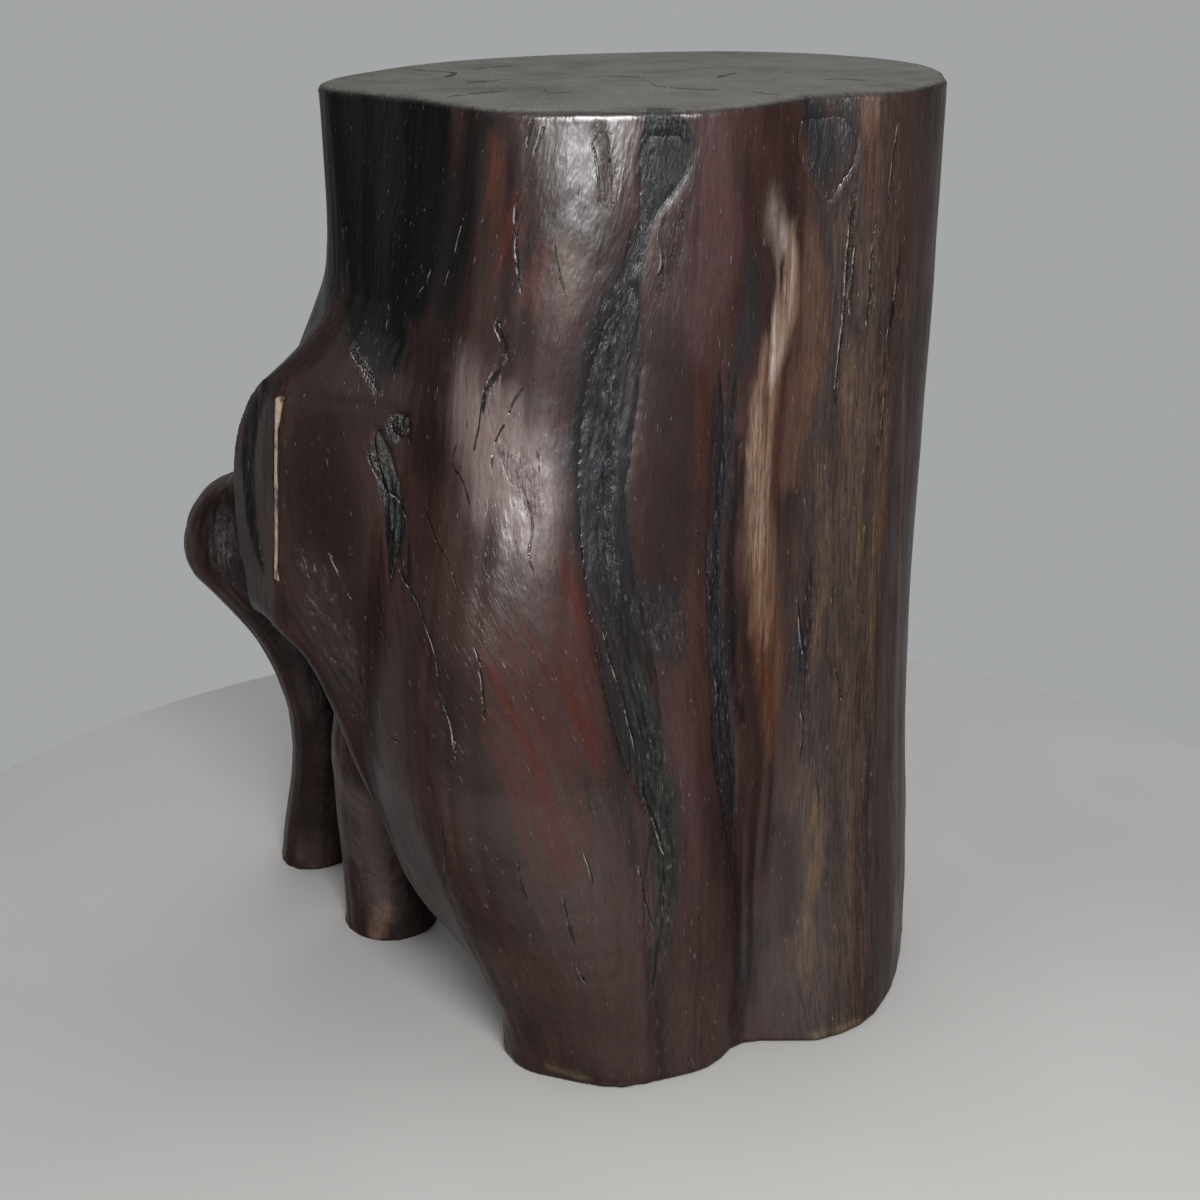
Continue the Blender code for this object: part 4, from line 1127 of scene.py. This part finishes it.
def wood_material(name, base_roughness, relief):
    """Wood or bark whose colours come from the paint: fibres, pores, torn flecks and cracks, with
    painted glints on the flecks, on specks and on the cracks' lips.
    """
    colours = stool_colours()
    shader = Shader(name)
    grain, _, _, _ = shader.attribute("grain")
    paint, _, _, _ = shader.attribute("paint")
    _, rough, end, fibrous = shader.attribute("wear")
    place = shader.place
    side = shader.math("SUBTRACT", 1.0, end)
    black, pale = opaque(colours.pore), opaque(colours.fleck_and_glint)

    fine = shader.noise(grain, *FINE_NOISE)
    hair = shader.noise(grain, *HAIR_NOISE)
    pores = shader.noise(grain, *PORE_NOISE)
    torn = shader.noise(grain, *TORN_NOISE)
    dimples = shader.noise(grain, *DIMPLE_NOISE)
    strands = shader.noise(grain, *STRAND_NOISE)
    dust_and_glint_specks = shader.noise(grain, *DUST_AND_GLINT_NOISE)
    clouds = shader.noise(place, *CLOUD_NOISE)
    grit = shader.noise(place, *GRIT_NOISE)
    mottling = shader.noise(place, *MOTTLE_NOISE)

    colour = shader.mix(side, paint, shader.shaded(paint, fine, 0.32, 0.68, 0.84, 1.16))
    colour = shader.mix(side, colour, shader.shaded(colour, hair, 0.30, 0.70, 0.86, 1.12))
    strand = shader.shaded(colour, strands, 0.36, 0.64, 0.52, 1.38)
    colour = shader.mix(fibrous, colour, strand)
    stains = shader.product(shader.range(mottling, 0.36, 0.74), end)
    colour = shader.mix(stains, colour, opaque(colours.end_dark))
    colour = shader.mix(end, colour, shader.shaded(colour, grit, 0.35, 0.65, 0.80, 1.18))
    pore = shader.product(shader.range(pores, 0.64, 0.72), side)
    colour = shader.mix(shader.product(pore, PORE_COVER), colour, black)
    pit = shader.product(shader.range(torn, 0.50, 0.40), rough)
    colour = shader.mix(shader.product(pit, PIT_COVER), colour, black)
    # Torn fibres in rough places, lightened with painted glints
    fleck_and_glint = shader.product(shader.range(torn, 0.59, 0.67), rough)
    colour = shader.mix(shader.product(fleck_and_glint, FLECK_AND_GLINT_COVER), colour, pale)
    # Pale specks over the sides: dust and painted glints
    dust = shader.product(shader.range(dust_and_glint_specks, 0.67, 0.73), side)
    colour = shader.mix(shader.product(dust, DUST_AND_GLINT_COVER), colour, pale)

    def raised(height, pattern, metres):
        return shader.math("MULTIPLY_ADD", pattern, metres, height)

    threads = shader.math("SUBTRACT", shader.range(fine, 0.3, 0.7), pore)
    height = shader.product(threads, side, FINE_RELIEF)
    height = raised(height, shader.product(dimples, side), DIMPLE_RELIEF)
    height = raised(height, shader.product(shader.math("SUBTRACT", torn, 0.5), rough), relief)
    height = raised(height, shader.product(grit, end), GRIT_RELIEF)
    wander = shader.math("MULTIPLY_ADD", shader.noise(grain, *SWAY_NOISE), 2.4, -1.2)
    broken = shader.noise(grain, *LIP_NOISE)
    breaks = shader.noise(place, *BREAK_NOISE)
    for layer in CRACK_LAYERS:
        _, offset, width, paleness = shader.attribute(layer)
        sway = shader.product(wander, shader.range(width, 0.0, 0.3))
        offset = shader.math("ADD", offset, sway)
        there = shader.range(width, 0.03, 0.2)
        inside = shader.math("MULTIPLY_ADD", width, -0.8, shader.math("ABSOLUTE", offset))
        unbroken = shader.range(breaks, 0.36, 0.46)
        core = shader.product(shader.range(inside, 0.15, -0.10), there, unbroken)
        # The pale lip beside each crack is a painted glint
        beside = shader.math("ABSOLUTE", shader.math("MULTIPLY_ADD", width, -1.6, offset))
        whole = shader.range(shader.math("MULTIPLY_ADD", paleness, 0.13, broken), 0.60, 0.70)
        lip = shader.product(shader.range(beside, 0.45, 0.12), there, paleness, whole)
        colour = shader.mix(shader.product(core, CRACK_COVER), colour, black)
        colour = shader.mix(shader.product(lip, LIP_GLINT_COVER), colour, pale)
        height = raised(raised(height, core, CRACK_RELIEF), lip, LIP_RELIEF)

    least, most = base_roughness + SMOOTHER, base_roughness + ROUGHER
    roughness = shader.range(clouds, 0.3, 0.7, least, most)
    roughness = shader.math("ADD", roughness, shader.product(rough, ROUGH_SHEEN))
    roughness = shader.math("MULTIPLY_ADD", end, END_SHEEN, roughness)
    facing = shader.add("ShaderNodeLayerWeight").outputs["Facing"]
    dull = shader.math("MULTIPLY_ADD", rough, ROUGH_DULLING, 1.0)
    shine = shader.product(shader.range(facing, 0.05, 0.45, FACING_SHINE, EDGE_SHINE), dull)
    shader.put(shader.surface, Specular_IOR_Level=shine)
    return shader.finish(colour, roughness, height)


def filler_material():
    """Pale filler with dirt in its hollows."""
    colours = stool_colours()
    shader = Shader("pale_filler")
    specks = shader.noise(shader.place, *SPECK_NOISE)
    pale, dirty = opaque(colours.filler), opaque(colours.filler_dirt)
    colour = shader.mix(shader.range(specks, 0.35, 0.60), dirty, pale)
    return shader.finish(colour, FILLER_ROUGHNESS, shader.product(specks, SPECK_RELIEF))


def plain_material(name, colour, roughness):
    """A dull even finish with a faint cloudiness, for the stage."""
    shader = Shader(name)
    clouds = shader.noise(shader.place, *STAGE_NOISE)
    shader.put(shader.surface, Specular_IOR_Level=STAGE_SHINE)
    colour = shader.shaded(opaque(colour), clouds, 0.3, 0.7, 0.94, 1.04)
    return shader.finish(colour, roughness, 0.0)


def dress(piece, node_name, material):
    """Finishes a piece that stands for a CAD node."""
    piece.data.shade_smooth()
    piece.data.materials.append(material)
    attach(piece, "root")
    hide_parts(node_name)


class STOOL_OT_trunk(bpy.types.Operator):
    """Carve the trunk's fine skin over its solid and mark it with grain, stains and cracks"""

    bl_idname = "stool.trunk"
    bl_label = "Trunk"

    def execute(self, context):
        sizes = stool_sizes()
        trunk = copied_node("trunk", "stool_trunk")
        names = (*BARK_NODES, KNOT_NODE, FILLER_NODE)
        inlays = [copied_node(name, name + "_under") for name in names]
        filled = np.concatenate([positions(inlay.data) for inlay in inlays])
        edges = sharp_edge_points(trunk.data)
        edges = edges[distance_to(edges, filled) > INLAY_CLEAR]
        for inlay in inlays:
            set_positions(inlay.data, positions(inlay.data) + normals(inlay.data) * INLAY_GROWTH)
        activate(trunk)
        for inlay in inlays:
            inlay.select_set(True)
        bpy.ops.object.join()
        apply_modifier(trunk, "REMESH", mode="VOXEL", voxel_size=sizes.skin_step)
        smooth_between_edges(trunk.data, edges)
        points = positions(trunk.data)
        gaps = from_pocket(points)
        sunk = INLAY_GROWTH * eased(gaps / INLAY_GROWTH)
        sunk += INLAY_SINK * eased((gaps - INLAY_GAP) / INLAY_RIM)
        sunk = np.maximum(sunk, NARROW_SINK * narrow_share(points))

        faces_out = normals(trunk.data)
        grain = grain_places(points, faces_out)
        side = 1 - seat_share(points, faces_out)
        fibre = ripple(grain, *TORN_FIBRES) * rough_share(points, faces_out)
        height = waves(points, grain) * sizes.wave_height + fibre * sizes.fibre_height
        height = height * side - sunk
        points += faces_out * height[:, None]
        set_positions(trunk.data, points)
        triangles = sum(len(polygon.vertices) - 2 for polygon in trunk.data.polygons)
        if triangles > MOST_TRIANGLES:
            fields = np.stack(crack_fields(points, faces_out))
            kept = (fields[:, :, 1] > 0).any(0)
            group = trunk.vertex_groups.new(name="coarse")
            group.add(np.flatnonzero(~kept).tolist(), 1.0, "REPLACE")
            ratio = MOST_TRIANGLES / triangles
            apply_modifier(trunk, "DECIMATE", ratio=ratio, vertex_group=group.name)
            trunk.vertex_groups.clear()
        set_positions(trunk.data, np.clip(positions(trunk.data), CAD_LOW, CAD_HIGH))
        store_marks(trunk.data)
        material = wood_material("waxed_hardwood", base_roughness=0.31, relief=0.0018)
        dress(trunk, "trunk", material)
        return {"FINISHED"}


def fibrous_inlay(node_name, step, rise, rim, height):
    """A finer copy of an inlay's solid that rises inside its rim, with fibres along the grain."""
    piece = copied_node(node_name, node_name + "_fibre")
    apply_modifier(piece, "REMESH", mode="VOXEL", voxel_size=step)
    points, faces_out = positions(piece.data), normals(piece.data)
    grain = grain_places(points, faces_out)
    fibre = ripple(grain, *BARK_FIBRES) + FINE_BARK_SHARE * ripple(grain, *FINE_BARK_FIBRES)
    fibre *= SMOOTH_BARK_SHARE + (1 - SMOOTH_BARK_SHARE) * rough_share(points, faces_out)
    height = fibre * height + rise * eased((from_pocket(points) - INLAY_GAP) / rim)
    height += waves(points, grain) * stool_sizes().wave_height
    set_positions(piece.data, np.clip(points + faces_out * height[:, None], CAD_LOW, CAD_HIGH))
    return piece


class STOOL_OT_bark(bpy.types.Operator):
    """Lay torn fibres over the strips and pockets of ingrown bark"""

    bl_idname = "stool.bark"
    bl_label = "Ingrown bark"

    def execute(self, context):
        sizes = stool_sizes()
        material = wood_material("ingrown_bark", base_roughness=0.34, relief=0.0020)
        for node_name, (dark, light, relief, rough) in BARK_NODES.items():
            height = sizes.bark_height * relief
            piece = fibrous_inlay(node_name, sizes.bark_step, BARK_RISE, INLAY_RIM, height)
            store_marks(piece.data, dark, light, rough)
            dress(piece, node_name, material)
        return {"FINISHED"}


class STOOL_OT_knot(bpy.types.Operator):
    """Roughen the dark knot beside the front knee"""

    bl_idname = "stool.knot"
    bl_label = "Knot"

    def execute(self, context):
        sizes = stool_sizes()
        piece = fibrous_inlay(KNOT_NODE, sizes.fine_step, BARK_RISE, KNOT_RIM, sizes.bark_height)
        points, faces_out = positions(piece.data), normals(piece.data)
        swirl = ripple(points, *KNOT_SWIRL) * sizes.bark_height
        set_positions(piece.data, points + faces_out * swirl[:, None])
        store_marks(piece.data, "black", "rough_grey", KNOT_ROUGHNESS)
        material = wood_material("dark_knot", base_roughness=0.36, relief=0.0020)
        dress(piece, KNOT_NODE, material)
        return {"FINISHED"}


class STOOL_OT_filler(bpy.types.Operator):
    """Smear the pale filler in the split of the front knee"""

    bl_idname = "stool.filler"
    bl_label = "Crack filler"

    def execute(self, context):
        step = stool_sizes().fine_step
        piece = fibrous_inlay(FILLER_NODE, step, FILLER_RISE, FILLER_RIM, FILLER_GRAIN)
        dress(piece, FILLER_NODE, filler_material())
        return {"FINISHED"}


def add_floor(radius, colour):
    """The round floor, whose upper face is at height nought."""
    bpy.ops.mesh.primitive_cylinder_add(
        vertices=160, radius=radius, depth=FLOOR_THICKNESS, location=(0, 0, -FLOOR_THICKNESS / 2)
    )
    floor = bpy.context.object
    floor.name = "floor"
    bpy.ops.object.transform_apply(location=True)
    apply_modifier(floor, "BEVEL", width=FLOOR_EDGE, segments=4, limit_method="ANGLE")
    bpy.ops.object.shade_smooth_by_angle()
    floor.data.materials.append(plain_material("pale_floor", colour, FLOOR_ROUGHNESS))


def set_world(scene, room, backdrop):
    """Even light on the stool, and a plain backdrop that the camera and the gloss see."""
    world = bpy.data.worlds.new("studio")
    scene.world = world
    world.use_nodes = True
    wiring = Wiring(world.node_tree)
    ambient, output = (world.node_tree.nodes[name] for name in ("Background", "World Output"))
    wiring.put(ambient, Color=AMBIENT_TINT, Strength=AMBIENT_LEVEL)
    towards = wiring.add("ShaderNodeSeparateXYZ")
    wiring.put(towards, Vector=wiring.add("ShaderNodeTexCoord").outputs["Generated"])
    fade = wiring.range(towards.outputs["Y"], ROOM_FROM, BACKDROP_FROM, curve="LINEAR")
    shown = wiring.add("ShaderNodeBackground")
    wiring.put(shown, Color=wiring.mix(fade, opaque(room), opaque(backdrop)))
    path = wiring.add("ShaderNodeLightPath").outputs
    seen = path["Is Camera Ray"]
    for ray in ("Is Transmission Ray", "Is Glossy Ray"):
        seen = wiring.math("MAXIMUM", seen, path[ray])
    mix = wiring.add("ShaderNodeMixShader")
    for socket, value in zip(mix.inputs, (seen, ambient.outputs[0], shown.outputs[0])):
        wiring.fill(socket, value)
    wiring.put(output, Surface=mix.outputs[0])


def add_lamp(scene, name, place, width, power):
    """A round soft lamp that looks at the middle of the stool."""
    data = bpy.data.lights.new(name, "AREA")
    data.shape = "DISK"
    data.size = width
    data.energy = power
    lamp = bpy.data.objects.new(name, data)
    lamp.location = place
    aim = Vector((0, 0, SEAT_HEIGHT / 2)) - lamp.location
    lamp.rotation_euler = aim.to_track_quat("-Z", "Y").to_euler()
    lamp.visible_camera = False
    scene.collection.objects.link(lamp)


def add_camera(scene):
    """The camera where the photograph was taken."""
    data = bpy.data.cameras.new("camera")
    data.sensor_width = SENSOR_WIDTH
    data.lens = SENSOR_WIDTH * CAMERA_FOCAL_PIXELS / PHOTO_SIDE
    camera = bpy.data.objects.new("camera", data)
    camera.location = CAMERA_PLACE
    camera.rotation_euler = (math.radians(90) - CAMERA_PITCH, 0, 0)
    scene.collection.objects.link(camera)
    scene.camera = camera


class STOOL_OT_stage(bpy.types.Operator):
    """Set the round floor, the lamps, the backdrop and the camera"""

    bl_idname = "stool.stage"
    bl_label = "Stage"

    def execute(self, context):
        colours, sizes = stool_colours(), stool_sizes()
        scene = context.scene
        scene.view_settings.view_transform = "Standard"
        add_floor(sizes.floor_radius, colours.floor)
        set_world(scene, colours.room, colours.backdrop)
        for name, place, width, power in LAMPS:
            add_lamp(scene, name, place, width * sizes.lamp_size, power)
        add_camera(scene)
        return {"FINISHED"}


class STOOL_PT_panel(bpy.types.Panel):
    """The stool's steps, colours and sizes"""

    bl_idname = "STOOL_PT_panel"
    bl_label = "Carved log stool"
    bl_space_type = "VIEW_3D"
    bl_region_type = "UI"
    bl_category = "Stool"

    def draw(self, context):
        for operator in OPERATORS:
            self.layout.operator(operator.bl_idname)
        for title, group, owner in (
            ("Colours", StoolColours, stool_colours()),
            ("Sizes", StoolSizes, stool_sizes()),
        ):
            box = self.layout.box()
            box.label(text=title)
            for name in group.__annotations__:
                box.prop(owner, name)


OPERATORS = (STOOL_OT_stage, STOOL_OT_trunk, STOOL_OT_bark, STOOL_OT_knot, STOOL_OT_filler)
CLASSES = (StoolColours, StoolSizes, *OPERATORS, STOOL_PT_panel)


def register():
    """Adds the stool's classes and its two groups of values."""
    for made in CLASSES:
        bpy.utils.register_class(made)
    bpy.types.Scene.stool_colours = bpy.props.PointerProperty(type=StoolColours)
    bpy.types.Scene.stool_sizes = bpy.props.PointerProperty(type=StoolSizes)


def unregister():
    """Takes them away again."""
    del bpy.types.Scene.stool_sizes
    del bpy.types.Scene.stool_colours
    for made in reversed(CLASSES):
        bpy.utils.unregister_class(made)


def main():
    """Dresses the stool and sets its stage."""
    register()
    bpy.ops.stool.stage()
    bpy.ops.stool.trunk()
    bpy.ops.stool.bark()
    bpy.ops.stool.knot()
    bpy.ops.stool.filler()


if __name__ == "__main__":
    main()
